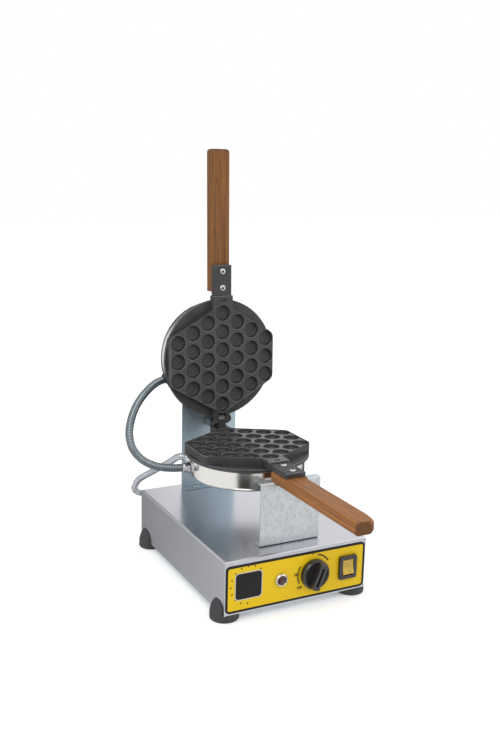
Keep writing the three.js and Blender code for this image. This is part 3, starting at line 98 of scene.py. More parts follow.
# Cast irons: heights below the face, which is at zero, and half widths
FIELD_DROP = 1.1
HEX_LOW = -16
CELL_MARGIN = 14
CORNER_CUT = 8
NECK_HALF = 17.5
TANG_HALF = 16
HANDLE_SCREW_REACH = (114, 140)
KNUCKLE_RADIUS = 8.5
PIN_BORE = 4.3

# Drums behind the irons
DRUM_BACK = -50
DRUM_WALL = 1.2
NUT_BORE = 3.3

# Fittings on the drums: the angle of each round its iron, its height and where its conduit leaves
LOWER_HOSE_ANGLE = 15
SUPPLY_HOSE_ANGLE = 45
LID_HOSE_ANGLE = 20
FITTING_Z = -36.56
FITTING_WALL = 89.3
FITTING_REACH = 11
LID_FITTING_REACH = 5
HOSE_CLEARANCE = 0.3

# Turns that bring a piece made upright, or along one axis, to where it sits
UPRIGHT = Matrix.Rotation(QUARTER, 4, "X")
TO_REAR = Matrix.Rotation(-QUARTER, 4, "X")
ACROSS = Matrix.Rotation(QUARTER, 4, "Y")
ALONG_X = Matrix(((0, 0, 1, 0), (1, 0, 0, 0), (0, 1, 0, 0), (0, 0, 0, 1)))
PIVOT_PLACE = Matrix.Translation((0, 0, AXIS_Z)) @ TO_REAR
LOWER_PLACE = Matrix.Translation((0, IRON_Y, AXIS_Z))
HINGE = Vector((0, HINGE_REACH, HINGE_RISE))
LID_SWING = Matrix.Translation(HINGE) @ Matrix.Rotation(-OPEN_ANGLE, 4, "X") @ Matrix.Translation(-HINGE)
LID_PLACE = LOWER_PLACE @ LID_SWING @ Matrix.Rotation(math.pi, 4, "Y")

# The two irons: name, body, place, and the finishes of drum and handle
IRONS = (
    ("lower", "lower_iron", LOWER_PLACE, "lower_drum_steel", "lower_beech"),
    ("lid", "lid_iron", LID_PLACE, "lid_drum_steel", "lid_beech"),
)


def linear(colour):
    """Turns an sRGB hex colour into the linear values that a shader reads."""
    parts = [int(colour[i:i + 2], 16) / 255 for i in (1, 3, 5)]
    return tuple(c / 12.92 if c <= 0.04045 else ((c + 0.055) / 1.055) ** 2.4 for c in parts)


def rgba(colour):
    """Gives a linear colour its full opacity."""
    return (*colour, 1.0)


# Sizes and colours that a user would change

class CaseSizes(bpy.types.PropertyGroup):
    fold_radius: FloatProperty(
        name="Fold radius", description="Outside radius of the case's folded edges", default=0.0026, unit="LENGTH")
    sheet: FloatProperty(name="Sheet", description="Thickness of the case sheet", default=0.0015, unit="LENGTH")
    foot_radius: FloatProperty(
        name="Foot radius", description="Radius of a rubber foot", default=0.021, unit="LENGTH")
    foot_tongue: FloatProperty(
        name="Foot tongue", description="How far a foot's tongue stands up the wall", default=0.023, unit="LENGTH")
    tick_count: IntProperty(name="Ticks", description="Marks round the left dial", default=11)


class IronSizes(bpy.types.PropertyGroup):
    cell_pitch: FloatProperty(
        name="Cell pitch", description="Distance between neighbouring cells", default=0.0296, unit="LENGTH")
    cell_columns: IntProperty(name="Cell columns", description="Columns of cells in one iron", default=7)
    longest_column: IntProperty(name="Longest column", description="Cells in the middle column", default=6)
    cell_radius: FloatProperty(
        name="Cell radius", description="Radius of a cell's mouth", default=0.0124, unit="LENGTH")
    cell_depth: FloatProperty(name="Cell depth", description="Depth of a cell", default=0.009, unit="LENGTH")
    drum_radius: FloatProperty(
        name="Drum radius", description="Radius of a drum behind an iron", default=0.089, unit="LENGTH")
    drum_edge: FloatProperty(
        name="Drum edge", description="Radius of a drum's rounded edge", default=0.006, unit="LENGTH")


class ConduitSizes(bpy.types.PropertyGroup):
    lid_radius: FloatProperty(
        name="Lid conduit", description="Outside radius of the conduit between the irons", default=0.0063,
        unit="LENGTH")
    supply_radius: FloatProperty(
        name="Supply conduit", description="Outside radius of the conduit to the case", default=0.0055,
        unit="LENGTH")
    rib_pitch: FloatProperty(
        name="Rib pitch", description="Distance from one rib to the next", default=0.0025, unit="LENGTH")
    rib_depth: FloatProperty(
        name="Rib depth", description="Depth of the groove between ribs", default=0.0005, unit="LENGTH")


class FinishColours(bpy.types.PropertyGroup):
    stainless: FloatVectorProperty(
        name="Stainless", description="Case sheet", subtype="COLOR", default=linear("#cbccd2"))
    coating: FloatVectorProperty(
        name="Coating", description="Non-stick coat of the castings", subtype="COLOR", default=linear("#2f2f30"))
    # Paler coat on the rounded edges: partly wear, partly a painted highlight
    worn_edge_and_highlight: FloatVectorProperty(
        name="Worn edge", description="Coat where edges rub", subtype="COLOR", default=linear("#6c6c70"))
    beech: FloatVectorProperty(
        name="Beech", description="Wood of the handles", subtype="COLOR", default=linear("#82542b"))
    label: FloatVectorProperty(
        name="Label", description="Yellow of the front label", subtype="COLOR", default=linear("#cfad08"))
    rubber: FloatVectorProperty(
        name="Rubber", description="Rubber of the feet", subtype="COLOR", default=linear("#363638"))
    amber: FloatVectorProperty(
        name="Amber", description="Translucent rocker", subtype="COLOR", default=linear("#dab52a"))


class StageSizes(bpy.types.PropertyGroup):
    camera_place: FloatVectorProperty(
        name="Camera place", description="Where the camera stands", subtype="TRANSLATION", unit="LENGTH",
        default=(-0.6321, -1.1416, 0.6197))
    camera_turn: FloatVectorProperty(
        name="Camera turn", description="Camera's heading, downward pitch and roll", subtype="EULER",
        default=(0.47948, 0.22183, 0.02419))
    lens: FloatProperty(name="Lens", description="Focal length in millimetres", default=44.562)


SIZE_GROUPS = {
    "waffle_case": CaseSizes,
    "waffle_iron": IronSizes,
    "waffle_conduit": ConduitSizes,
    "waffle_finish": FinishColours,
    "waffle_stage": StageSizes,
}


def chosen(group):
    """One group of the scene's sizes or colours."""
    return getattr(bpy.context.scene, "waffle_" + group)


# Mesh helpers

def loft(rings, closed=False):
    """Joins rings of points into one body. A ring of one point closes as a pole."""
    shape = bmesh.new()
    rows = [[shape.verts.new(point) for point in ring] for ring in rings]
    for low, high in list(zip(rows, rows[1:])) + ([(rows[-1], rows[0])] if closed else []):
        for k in range(max(len(low), len(high))):
            corners = [low[k % len(low)], low[(k + 1) % len(low)], high[(k + 1) % len(high)], high[k % len(high)]]
            corners = list(dict.fromkeys(corners))
            if len(corners) > 2:
                shape.faces.new(corners)
    for row in () if closed else (rows[0], rows[-1]):
        if len(row) > 2:
            shape.faces.new(row)
    bmesh.ops.recalc_face_normals(shape, faces=shape.faces)
    return shape


def lathe(profile, segments=48, closed=False):
    """Turns [radius, height] points about Z."""
    rings = []
    for radius, height in profile:
        count = segments if radius > 1e-6 else 1
        angles = [2 * math.pi * k / segments for k in range(count)]
        rings.append([(radius * math.cos(a), radius * math.sin(a), height) for a in angles])
    return loft(rings, closed)


def rod(radius, low, high, segments=32):
    """A plain cylinder along Z."""
    return lathe([(0, low), (radius, low), (radius, high), (0, high)], segments)


def prism(outline, low, high):
    """Gives a flat outline a height along Z."""
    return loft([[(x, y, low) for x, y in outline], [(x, y, high) for x, y in outline]])


def rounded(corners, steps=6):
    """A flat outline from [x, y, corner radius] corners."""
    outline = []
    for i, (x, y, radius) in enumerate(corners):
        if radius <= 0:
            outline.append((x, y))
            continue
        here = Vector((x, y))
        before = (Vector(corners[i - 1][:2]) - here).normalized()
        after = (Vector(corners[(i + 1) % len(corners)][:2]) - here).normalized()
        half = before.angle(after) / 2
        centre = here + (before + after).normalized() * radius / math.sin(half)
        start = here + before * radius / math.tan(half) - centre
        sweep = (math.pi - 2 * half) * (1 if before.cross(after) < 0 else -1)
        for k in range(steps + 1):
            arm = start.copy()
            arm.rotate(Matrix.Rotation(sweep * k / steps, 2))
            outline.append(tuple(centre + arm))
    return outline


def rectangle(x0, x1, y0, y1, radius=0.0):
    """A flat rectangle with round corners."""
    return rounded([(x0, y0, radius), (x1, y0, radius), (x1, y1, radius), (x0, y1, radius)])


def block(x0, x1, y0, y1, z0, z1):
    """A block between two opposite corners."""
    return prism([(x0, y0), (x1, y0), (x1, y1), (x0, y1)], z0, z1)


def rounded_block(x0, x1, y0, y1, z0, z1, radius):
    """A block with every edge rounded."""
    shape = block(x0, x1, y0, y1, z0, z1)
    bmesh.ops.bevel(shape, geom=shape.edges[:], offset=radius, segments=3, profile=0.5, affect="EDGES")
    return shape


def arc_points(cx, cy, radius, start, end, steps, rise=None):
    """Points on an arc, angles in degrees. With a rise it is an ellipse's arc."""
    angles = [math.radians(start + (end - start) * k / steps) for k in range(steps + 1)]
    return [(cx + radius * math.cos(a), cy + (rise or radius) * math.sin(a)) for a in angles]


def moved(shape, place):
    """A shape put where it belongs."""
    bmesh.ops.transform(shape, matrix=place, verts=shape.verts)
    return shape


def shape_of(mesh):
    """A mesh as a shape to edit."""
    shape = bmesh.new()
    shape.from_mesh(mesh)
    return shape


def add_object(name, data):
    """A new object in the scene."""
    made = bpy.data.objects.new(name, data)
    bpy.context.scene.collection.objects.link(made)
    return made


def keep(name, shape, place=None):
    """Turns a shape in millimetres into an object in metres, put where it belongs."""
    if place is not None:
        moved(shape, place)
    bmesh.ops.scale(shape, vec=(MM, MM, MM), verts=shape.verts)
    mesh = bpy.data.meshes.new(name)
    shape.to_mesh(mesh)
    shape.free()
    return add_object(name, mesh)


def put_in_place(piece, place):
    """Moves a piece's mesh by a place in millimetres."""
    piece.data.transform(Matrix.Scale(MM, 4) @ place @ Matrix.Scale(1 / MM, 4))
    return piece


def evaluated_mesh(piece):
    """The mesh that a piece shows with its modifiers."""
    bpy.context.view_layer.update()
    return bpy.data.meshes.new_from_object(piece.evaluated_get(bpy.context.evaluated_depsgraph_get()))


def settle(piece):
    """Makes a piece's modifiers real and takes them off."""
    mesh = evaluated_mesh(piece)
    piece.modifiers.clear()
    piece.data = mesh
    mesh.name = piece.name
    return piece


def modify(piece, kind, **settings):
    """Adds a modifier with its settings."""
    step = piece.modifiers.new(kind.lower(), kind)
    for key, value in settings.items():
        setattr(step, key, value)


def carve(piece, *tools, operation="DIFFERENCE"):
    """Cuts tools out of a piece, joins them to it, or keeps what they share. A tool is a shape or an object."""
    tools = [keep("tool", tool) if isinstance(tool, bmesh.types.BMesh) else tool for tool in tools]
    for tool in tools:
        modify(piece, "BOOLEAN", object=tool, operation=operation, solver="MANIFOLD")
    settle(piece)
    for tool in tools:
        bpy.data.objects.remove(tool)
    return piece


def soften(piece, width, segments=2, angle=28):
    """Rounds the sharp edges of a piece by a width in millimetres."""
    modify(piece, "BEVEL", width=width * MM, segments=segments, limit_method="ANGLE",
           angle_limit=math.radians(angle), use_clamp_overlap=True)
    return settle(piece)


def mark_faces(piece, tests):
    """Marks the corners of the faces that pass a test, under the test's name, for a finish to read."""
    shape = shape_of(piece.data)
    layers = [shape.loops.layers.float.new(name) for name in tests]
    for face in shape.faces:
        for layer, test in zip(layers, tests.values()):
            mark = 1.0 if test(face) else 0.0
            for corner in face.loops:
                corner[layer] = mark
    shape.to_mesh(piece.data)
    shape.free()
    return piece


def dress(piece, finish, body, replaced=(), sharp=32, level=False):
    """Gives a finished piece its material and shading, and fixes it to its body. Level faces can keep their own
    shading next to rounded edges."""
    mesh = piece.data
    mesh.materials.clear()
    mesh.materials.append(finish)
    mesh.polygons.foreach_set("material_index", [0] * len(mesh.polygons))
    mesh.shade_smooth()
    mesh.set_sharp_from_angle(angle=math.radians(sharp))
    if level:
        modify(piece, "WEIGHTED_NORMAL", keep_sharp=True, weight=100)
        settle(piece)
    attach(piece, body)
    if replaced:
        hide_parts(*replaced)
    return piece


def fitted(name, shape, place, material, body, replaced=(), **shading):
    """A finished piece straight from its shape."""
    return dress(keep(name, shape, place), finish(material), body, replaced, **shading)


def node_copy(name, node):
    """A merged copy of a node of the model, to be finished as a piece of its own."""
    shape = shape_of(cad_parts[node].data)
    bmesh.ops.remove_doubles(shape, verts=shape.verts, dist=1e-6)
    bmesh.ops.dissolve_limit(shape, angle_limit=math.radians(1), verts=shape.verts, edges=shape.edges)
    bmesh.ops.scale(shape, vec=(1 / MM, 1 / MM, 1 / MM), verts=shape.verts)
    return keep(name, shape)


def paint_node(node, material):
    """Gives a node that stays as it is its finish."""
    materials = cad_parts[node].data.materials
    if not materials:
        materials.append(finish(material))
    for slot in range(len(materials)):
        materials[slot] = finish(material)


# Material helpers

def put(tree, kind, links=None, out=None, **settings):
    """Adds a node with its settings and its inputs, each a value or another node's output. Gives the node, or
    the output that is asked for."""
    node = tree.nodes.new(kind)
    for key, value in settings.items():
        setattr(node, key, value)
    for key, value in (links or {}).items():
        if isinstance(value, bpy.types.NodeSocket):
            tree.links.new(value, node.inputs[key])
        else:
            node.inputs[key].default_value = value
    return node if out is None else node.outputs[out]


def start_finish(name, values):
    """Starts a material and returns it with its tree and its shader."""
    material = bpy.data.materials.new(name)
    material.use_nodes = True
    shader = material.node_tree.nodes["Principled BSDF"]
    for key, value in values.items():
        shader.inputs[key].default_value = value
    return material, material.node_tree, shader


def drive(tree, shader, colour, rough, height, strength, distance):
    """Links a pattern's colour, its roughness if it has one, and its height to a shader."""
    tree.links.new(colour, shader.inputs["Base Color"])
    if rough is not None:
        tree.links.new(rough, shader.inputs["Roughness"])
    relief = put(tree, "ShaderNodeBump", {"Height": height, "Strength": strength, "Distance": distance}, "Normal")
    tree.links.new(relief, shader.inputs["Normal"])


def ramp(node, stops):
    """Sets a colour ramp's stops from [place, linear colour] pairs."""
    elements = node.color_ramp.elements
    while len(elements) > 1:
        elements.remove(elements[-1])
    elements[0].position, elements[0].color = stops[0][0], rgba(stops[0][1])
    for place, colour in stops[1:]:
        elements.new(place).color = rgba(colour)
    return node.outputs["Color"]


def shade(colour, amount):
    """A lighter or darker version of a linear colour."""
    return tuple(min(1.0, c * amount) for c in colour)


def colour_of(key):
    """A linear colour from its hex value or from the name of a colour that the user can change."""
    return linear(key) if key.startswith("#") else tuple(getattr(chosen("finish"), key))


def own_axes(tree, place_matrix):
    """The coordinates of an iron's own frame, for a pattern that follows the piece."""
    back = place_matrix.inverted()
    place = put(tree, "ShaderNodeTexCoord", out="Object")
    return put(tree, "ShaderNodeMapping", {
        "Vector": place, "Location": back.translation * MM, "Rotation": back.to_euler()}, "Vector")


# Finishes

def satin_sheet(name, stretch, low, high):
    """Rolled stainless sheet with a satin grain: fine streaks one way, and slow changes of gloss."""
    material, tree, shader = start_finish(name, {"Metallic": 1.0, "Roughness": low})
    colour = colour_of("stainless")
    place = put(tree, "ShaderNodeTexCoord", out="Object")
    streaks = put(tree, "ShaderNodeMapping", {"Vector": place, "Scale": stretch}, "Vector")
    grain = put(tree, "ShaderNodeTexNoise", {"Vector": streaks, "Scale": 1.0, "Detail": 3.0}, "Fac")
    cloud = put(tree, "ShaderNodeTexNoise", {"Vector": place, "Scale": 8.0, "Detail": 1.0}, "Fac")
    gloss = put(tree, "ShaderNodeMapRange", {
        "Value": grain, "From Min": 0.3, "From Max": 0.7, "To Min": low, "To Max": high}, "Result")
    tone = ramp(put(tree, "ShaderNodeValToRGB", {"Fac": cloud}), [(0.3, shade(colour, 0.97)),
                                                                 (0.7, shade(colour, 1.02))])
    drive(tree, shader, tone, gloss, grain, 0.004, 0.0001)
    return material


def galvanised(name, colour):
    """Hot-dip galvanised sheet: small spangles about 3 mm wide drawn out upwards, and fine vertical streaks."""
    material, tree, shader = start_finish(name, {"Metallic": 1.0, "Roughness": 0.36})
    colour = colour_of(colour)
    place = put(tree, "ShaderNodeTexCoord", out="Object")
    tall = put(tree, "ShaderNodeMapping", {"Vector": place, "Scale": (430.0, 430.0, 210.0)}, "Vector")
    spangle = put(tree, "ShaderNodeTexVoronoi", {"Vector": tall, "Scale": 1.0, "Randomness": 1.0}, "Color",
                  feature="F1")
    thin = put(tree, "ShaderNodeMapping", {"Vector": place, "Scale": (900.0, 900.0, 22.0)}, "Vector")
    streak = put(tree, "ShaderNodeTexNoise", {"Vector": thin, "Scale": 1.0, "Detail": 4.0}, "Fac")
    level = put(tree, "ShaderNodeSeparateColor", {"Color": spangle}, "Red")
    both = put(tree, "ShaderNodeMath", {0: streak, 1: 0.55, 2: level}, "Value", operation="MULTIPLY_ADD")
    tone = ramp(put(tree, "ShaderNodeValToRGB", {"Fac": both}), [
        (0.15, shade(colour, 0.86)), (0.6, colour), (1.1, shade(colour, 1.07))])
    gloss = put(tree, "ShaderNodeMapRange", {
        "Value": both, "From Min": 0.1, "From Max": 1.2, "To Min": 0.42, "To Max": 0.3}, "Result")
    drive(tree, shader, tone, gloss, streak, 0.05, 0.0002)
    return material


def spun_steel(name, place_matrix):
    """Deep-drawn stainless pan: faint turning lines round it, and nearly white gloss."""
    material, tree, shader = start_finish(name, {"Metallic": 1.0, "Roughness": 0.22})
    colour = linear("#e6e4df")
    parts = put(tree, "ShaderNodeSeparateXYZ", {"Vector": own_axes(tree, place_matrix)}).outputs
    across, aside = (put(tree, "ShaderNodeMath", {0: parts[axis], 1: parts[axis]}, "Value", operation="MULTIPLY")
                     for axis in ("X", "Y"))
    total = put(tree, "ShaderNodeMath", {0: across, 1: aside}, "Value", operation="ADD")
    radius = put(tree, "ShaderNodeMath", {0: total}, "Value", operation="SQRT")
    path = put(tree, "ShaderNodeMath", {0: radius, 1: parts["Z"]}, "Value", operation="SUBTRACT")
    lines = put(tree, "ShaderNodeTexNoise", {"W": path, "Scale": 1600.0, "Detail": 2.0}, "Fac",
                noise_dimensions="1D")
    gloss = put(tree, "ShaderNodeMapRange", {
        "Value": lines, "From Min": 0.3, "From Max": 0.7, "To Min": 0.15, "To Max": 0.2}, "Result")
    tone = ramp(put(tree, "ShaderNodeValToRGB", {"Fac": lines}), [(0.3, shade(colour, 0.98)),
                                                                 (0.7, shade(colour, 1.01))])
    drive(tree, shader, tone, gloss, lines, 0.015, 0.0001)
    return material


def non_stick(name):
    """Sand-cast aluminium with a baked non-stick coat: charcoal, pebbly to the touch, and paler along the rounded
    edges, partly for wear and partly as a painted highlight.
    The real grain of about 0.5 mm is drawn 2 mm wide so that it shows at this size."""
    material, tree, shader = start_finish(name, {"Roughness": 0.55, "IOR": 1.5})
    coat, worn = colour_of("coating"), colour_of("worn_edge_and_highlight")
    place = put(tree, "ShaderNodeTexCoord", out="Object")
    grain = put(tree, "ShaderNodeTexNoise", {"Vector": place, "Scale": 520.0, "Detail": 4.0}, "Fac")
    patch = put(tree, "ShaderNodeTexNoise", {"Vector": place, "Scale": 45.0, "Detail": 4.0}, "Fac")
    tone = ramp(put(tree, "ShaderNodeValToRGB", {"Fac": patch}), [(0.3, shade(coat, 0.8)), (0.7, shade(coat, 1.25))])
    # Edge wear and painted highlight: narrow rounded edge faces are mixed towards the paler grey, partly for wear and
    # partly to paint the rims' highlight
    edge = put(tree, "ShaderNodeAttribute", out="Fac", attribute_name="edge_wear")
    wear = put(tree, "ShaderNodeMapRange", {
        "Value": grain, "From Min": 0.3, "From Max": 0.62, "To Min": 0.15, "To Max": 0.7}, "Result")
    rubbed = put(tree, "ShaderNodeMath", {0: edge, 1: wear}, "Value", operation="MULTIPLY")
    colour = put(tree, "ShaderNodeMix", {"Factor": rubbed, 6: tone, 7: rgba(worn)}, 2, data_type="RGBA")
    gloss = put(tree, "ShaderNodeMapRange", {
        "Value": grain, "From Min": 0.3, "From Max": 0.7, "To Min": 0.44, "To Max": 0.6}, "Result")
    baking = put(tree, "ShaderNodeAttribute", out="Fac", attribute_name="baking_face")
    smooth = put(tree, "ShaderNodeMath", {0: baking, 1: edge}, "Value", operation="MAXIMUM")
    polish = put(tree, "ShaderNodeMath", {0: smooth, 1: -0.28, 2: gloss}, "Value", operation="MULTIPLY_ADD")
    drive(tree, shader, colour, polish, grain, 0.22, 0.0004)
    return material


def beech_wood(name, place_matrix, lift):
    """Steamed beech, planed and oiled: straight grain along the handle with short dark flecks, and a dark end
    where the handle is cut across."""
    material, tree, shader = start_finish(name, {"Roughness": 0.5, "Specular IOR Level": 0.25})
    wood = shade(colour_of("beech"), lift)
    dark_wood = rgba(shade(wood, 0.3))
    own = own_axes(tree, place_matrix)
    long = put(tree, "ShaderNodeMapping", {"Vector": own, "Scale": (380.0, 8.0, 380.0)}, "Vector")
    grain = put(tree, "ShaderNodeTexNoise", {"Vector": long, "Scale": 1.0, "Detail": 5.0, "Distortion": 0.2}, "Fac")
    tone = ramp(put(tree, "ShaderNodeValToRGB", {"Fac": grain}), [
        (0.28, shade(wood, 0.58)), (0.5, wood), (0.72, shade(wood, 1.35))])
    short = put(tree, "ShaderNodeMapping", {"Vector": own, "Scale": (420.0, 55.0, 420.0)}, "Vector")
    fleck = put(tree, "ShaderNodeTexNoise", {"Vector": short, "Scale": 1.0, "Detail": 1.0}, "Fac")
    reach = put(tree, "ShaderNodeSeparateXYZ", {"Vector": own}, "Y")
    for value, start, end, most in ((fleck, 0.64, 0.72, 0.55), (reach, -0.3245, -0.3276, 0.85)):
        share = put(tree, "ShaderNodeMapRange", {
            "Value": value, "From Min": start, "From Max": end, "To Min": 0.0, "To Max": most}, "Result")
        tone = put(tree, "ShaderNodeMix", {"Factor": share, 6: tone, 7: dark_wood}, 2, data_type="RGBA")
    gloss = put(tree, "ShaderNodeMapRange", {
        "Value": grain, "From Min": 0.3, "From Max": 0.7, "To Min": 0.42, "To Max": 0.58}, "Result")
    drive(tree, shader, tone, gloss, grain, 0.15, 0.0003)
    return material


def patterned(name, colour, values, scale, tones, gloss, strength, distance=0.0002, detail=3.0,
              stops=(0.3, 0.7), painted_shade=None):
    """A finish with one fine pattern that its tone, its gloss and its relief follow. Painted shade gives the
    attribute that marks hollows to paint darker as shade, how much of it shows, and its dark tint."""
    material, tree, shader = start_finish(name, values)
    colour = colour_of(colour)
    place = put(tree, "ShaderNodeTexCoord", out="Object")
    noise = put(tree, "ShaderNodeTexNoise", {"Vector": place, "Scale": scale, "Detail": detail}, "Fac")
    tone = ramp(put(tree, "ShaderNodeValToRGB", {"Fac": noise}),
                [(stop, shade(colour, share)) for stop, share in zip(stops, tones)])
    # Painted shade: the marked hollows are mixed towards a dark tint in place of the shade that falls in them
    if painted_shade:
        mark, most, shade_tint = painted_shade
        covered = put(tree, "ShaderNodeAttribute", out="Fac", attribute_name=mark)
        if most < 1:
            covered = put(tree, "ShaderNodeMath", {0: covered, 1: most}, "Value", operation="MULTIPLY")
        tone = put(tree, "ShaderNodeMix", {"Factor": covered, 6: tone, 7: rgba(linear(shade_tint))}, 2, data_type="RGBA")
    rough = gloss and put(tree, "ShaderNodeMapRange", {
        "Value": noise, "From Min": 0.3, "From Max": 0.7, "To Min": gloss[0], "To Max": gloss[1]}, "Result")
    drive(tree, shader, tone, rough, noise, strength, distance)
    return material


def moulded(name, colour, values, scale, strength, spread=0.12):
    """Moulded or printed material: an even colour with a fine grain and slight changes of gloss."""
    base = values["Roughness"]
    return patterned(name, colour, values, scale, (1 - spread, 1 + spread), (base * 0.85, min(1.0, base * 1.15)),
                     strength)


def bright_metal(name, colour, rough, scale, painted_shade=None):
    """A turned or plated small part: bright, with slight unevenness."""
    return patterned(name, colour, {"Metallic": 1.0, "Roughness": rough}, scale, (0.86, 1.05),
                     (rough * 0.8, rough * 1.3), 0.03, painted_shade=painted_shade)


def strip_wound(name, colour, painted_shade):
    """Flexible conduit wound from metal strip: bright ribs, with painted shade darkening the grooves between."""
    return patterned(name, colour, {"Metallic": 1.0, "Roughness": 0.22}, 90.0, (0.85, 1.1), None, 0.05,
                     painted_shade=("groove", painted_shade, "#2b2e33"))


def lens_acrylic(name, light, dark):
    """Acrylic lens with a moulded honeycomb inside: nearly black when unlit, coloured where light gets in."""
    material, tree, shader = start_finish(name, {
        "Roughness": 0.12, "IOR": 1.49, "Transmission Weight": 0.2, "Coat Weight": 0.5, "Coat Roughness": 0.05})
    place = put(tree, "ShaderNodeTexCoord", out="Object")
    cells = put(tree, "ShaderNodeTexVoronoi", {"Vector": place, "Scale": 700.0, "Randomness": 0.1}, "Distance")
    tone = ramp(put(tree, "ShaderNodeValToRGB", {"Fac": cells}), [(0.1, linear(light)), (0.7, linear(dark))])
    drive(tree, shader, tone, None, cells, 0.15, 0.0003)
    return material


# Each finish: the function that makes it, and what that function is told after the name
FINISH_ROWS = {
    # 430 stainless sheet, satin rolled front to back: soft grey reflections drawn out along the case
    "stainless_along": (satin_sheet, (1900.0, 12.0, 1900.0), 0.19, 0.26),
    # The same sheet on the panels, with its grain lying from side to side
    "stainless_across": (satin_sheet, (12.0, 1900.0, 1900.0), 0.21, 0.28),
    # Bright zinc-plated steel: bluish, softly mirroring, with faint cloudy passivation
    "zinc_plate": (patterned, "#bed0da", {"Metallic": 1.0, "Roughness": 0.2}, 22.0, (0.95, 1.03), (0.38, 0.46),
                   0.01, 0.0003),
    # Hot-dip galvanised sheet: pale, with spangles that catch the light one by one
    "galvanised_sheet": (galvanised, "#c8ccce"),
    # Deep-drawn pans, with turning lines round each drum's own axis
    "lower_drum_steel": (spun_steel, LOWER_PLACE),
    "lid_drum_steel": (spun_steel, LID_PLACE),
    # Baked non-stick coat on the castings: charcoal and matt, smoother on the faces that bake
    "cast_coat": (non_stick,),
    # Oiled beech: the lower handle is the lighter of the two, and the lid's is redder and darker
    "lower_beech": (beech_wood, LOWER_PLACE, 1.15),
    "lid_beech": (beech_wood, LID_PLACE, 0.75),
    # Moulded nitrile rubber: near black, matt, with a dusty bloom
    "rubber": (moulded, "rubber", {"Roughness": 0.62, "Specular IOR Level": 0.4}, 420, 0.2),
    # Screen-printed polyester film: flat signal yellow under a satin skin
    "yellow_print": (moulded, "label", {"Roughness": 0.42, "Specular IOR Level": 0.25}, 260, 0.02, 0.02),
    # Black screen ink on the same film
    "black_print": (moulded, "#121111", {"Roughness": 0.45, "Specular IOR Level": 0.3}, 300, 0.02, 0.05),
    # Silver ink: a grey with a little metal in it
    "silver_print": (moulded, "#c9c9c6", {"Roughness": 0.35, "Metallic": 0.7}, 300, 0.02, 0.05),
    # Black phenolic moulding: deep black with a polished skin and a soft highlight
    "phenolic": (moulded, "#232123", {"Roughness": 0.3, "Coat Weight": 0.35, "Coat Roughness": 0.12}, 500, 0.04),
    # Moulded nylon: black with a fine spark-eroded grain
    "black_nylon": (moulded, "#151517", {"Roughness": 0.5, "Specular IOR Level": 0.35}, 700, 0.12),
    # Translucent amber polycarbonate: light enters and glows inside, with a glossy skin
    "amber_polycarbonate": (patterned, "amber", {
        "Roughness": 0.18, "IOR": 1.58, "Transmission Weight": 0.35, "Coat Weight": 0.4, "Coat Roughness": 0.08,
        "Subsurface Weight": 0.3, "Subsurface Scale": 0.004}, 90.0, (0.85, 1.1), None, 0.02, 0.0002, 2.0,
        (0.35, 0.65)),
    # Dark red acrylic of the pilot lamp
    "red_lens": (lens_acrylic, "#5a0f1a", "#2c070c"),
    # Bright plated ring of the pilot lamp
    "chrome_ring": (bright_metal, "#e2ddd0", 0.2, 60),
    # Cold-headed steel screws, zinc plated: bright with a slight frost, and their recesses painted dark as shade
    "zinc_screw": (bright_metal, "#d3d5d8", 0.34, 260, ("recess", 1.0, "#17161a")),
    # Pressed steel locknuts, dulled by heat
    "dark_steel": (bright_metal, "#5d6066", 0.38, 200),
    # Nickel-plated brass conduit fittings: very bright
    "nickel_fitting": (bright_metal, "#dcdde0", 0.16, 150),
    # Bare turned brass
    "brass": (bright_metal, "#c7a257", 0.28, 180),
    # Turned and oiled steel
    "bearing_steel": (bright_metal, "#a9abad", 0.3, 220),
    # Blackened and oiled steel
    "black_oxide": (bright_metal, "#2e2e30", 0.42, 220),
    # As-cast aluminium ring of the heaters
    "heater_casting": (moulded, "#a5a6a8", {"Roughness": 0.55, "Metallic": 0.9}, 300, 0.3),
    # Unglazed steatite ceramic: chalky off-white
    "steatite": (moulded, "#e4ddcf", {"Roughness": 0.75}, 380, 0.12, 0.05),
    # Pressed mineral-wool board: felted fibres, straw-coloured
    "mineral_wool": (moulded, "#c9ba94", {"Roughness": 0.95}, 240, 0.8, 0.2),
    # Galvanised steel conduit: silvery ribs, with painted shade darkening the grooves between
    "strip_steel": (strip_wound, "#8f999f", 0.7),
    # The same conduit in a paler grey, with less painted shade in its grooves
    "pale_strip_steel": (strip_wound, "#c9ccd4", 0.3),
    # Pale seamless paper over a light table
    "studio_floor": (moulded, "#f4f4f4", {
        "Roughness": 0.9, "Emission Color": (1.0, 1.0, 1.0, 1.0), "Emission Strength": 0.22}, 30, 0.0, 0.004),
}
FINISHES = {}


def finish(name):
    """Gives a finish, making it the first time that it is asked for."""
    if name not in FINISHES:
        make, *told = FINISH_ROWS[name]
        FINISHES[name] = make(name, *told)
    return FINISHES[name]


# Geometry Nodes

SOCKETS = {"Float": "NodeSocketFloat", "Int": "NodeSocketInt", "Vector": "NodeSocketVector",
           "Object": "NodeSocketObject", "Material": "NodeSocketMaterial"}


def start_tree(name, inputs):
    """Starts a tree whose inputs are the piece's own geometry, what is listed and the finish. Gives the tree,
    its inputs, and the function that adds a node to it."""
    tree = bpy.data.node_groups.new(name, "GeometryNodeTree")
    tree.interface.new_socket("Geometry", in_out="INPUT", socket_type="NodeSocketGeometry")
    for label, kind in {**inputs, "Finish": "Material"}.items():
        tree.interface.new_socket(label, in_out="INPUT", socket_type=SOCKETS[kind])
    tree.interface.new_socket("Geometry", in_out="OUTPUT", socket_type="NodeSocketGeometry")
    given = put(tree, "NodeGroupInput").outputs
    return tree, given, partial(put, tree)


def end_tree(tree, given, geometry):
    """Ends a tree in Realize Instances and Set Material."""
    real = put(tree, "GeometryNodeRealizeInstances", {"Geometry": geometry}, "Geometry")
    covered = put(tree, "GeometryNodeSetMaterial", {"Geometry": real, "Material": given["Finish"]}, "Geometry")
    put(tree, "NodeGroupOutput", {"Geometry": covered})
    return tree


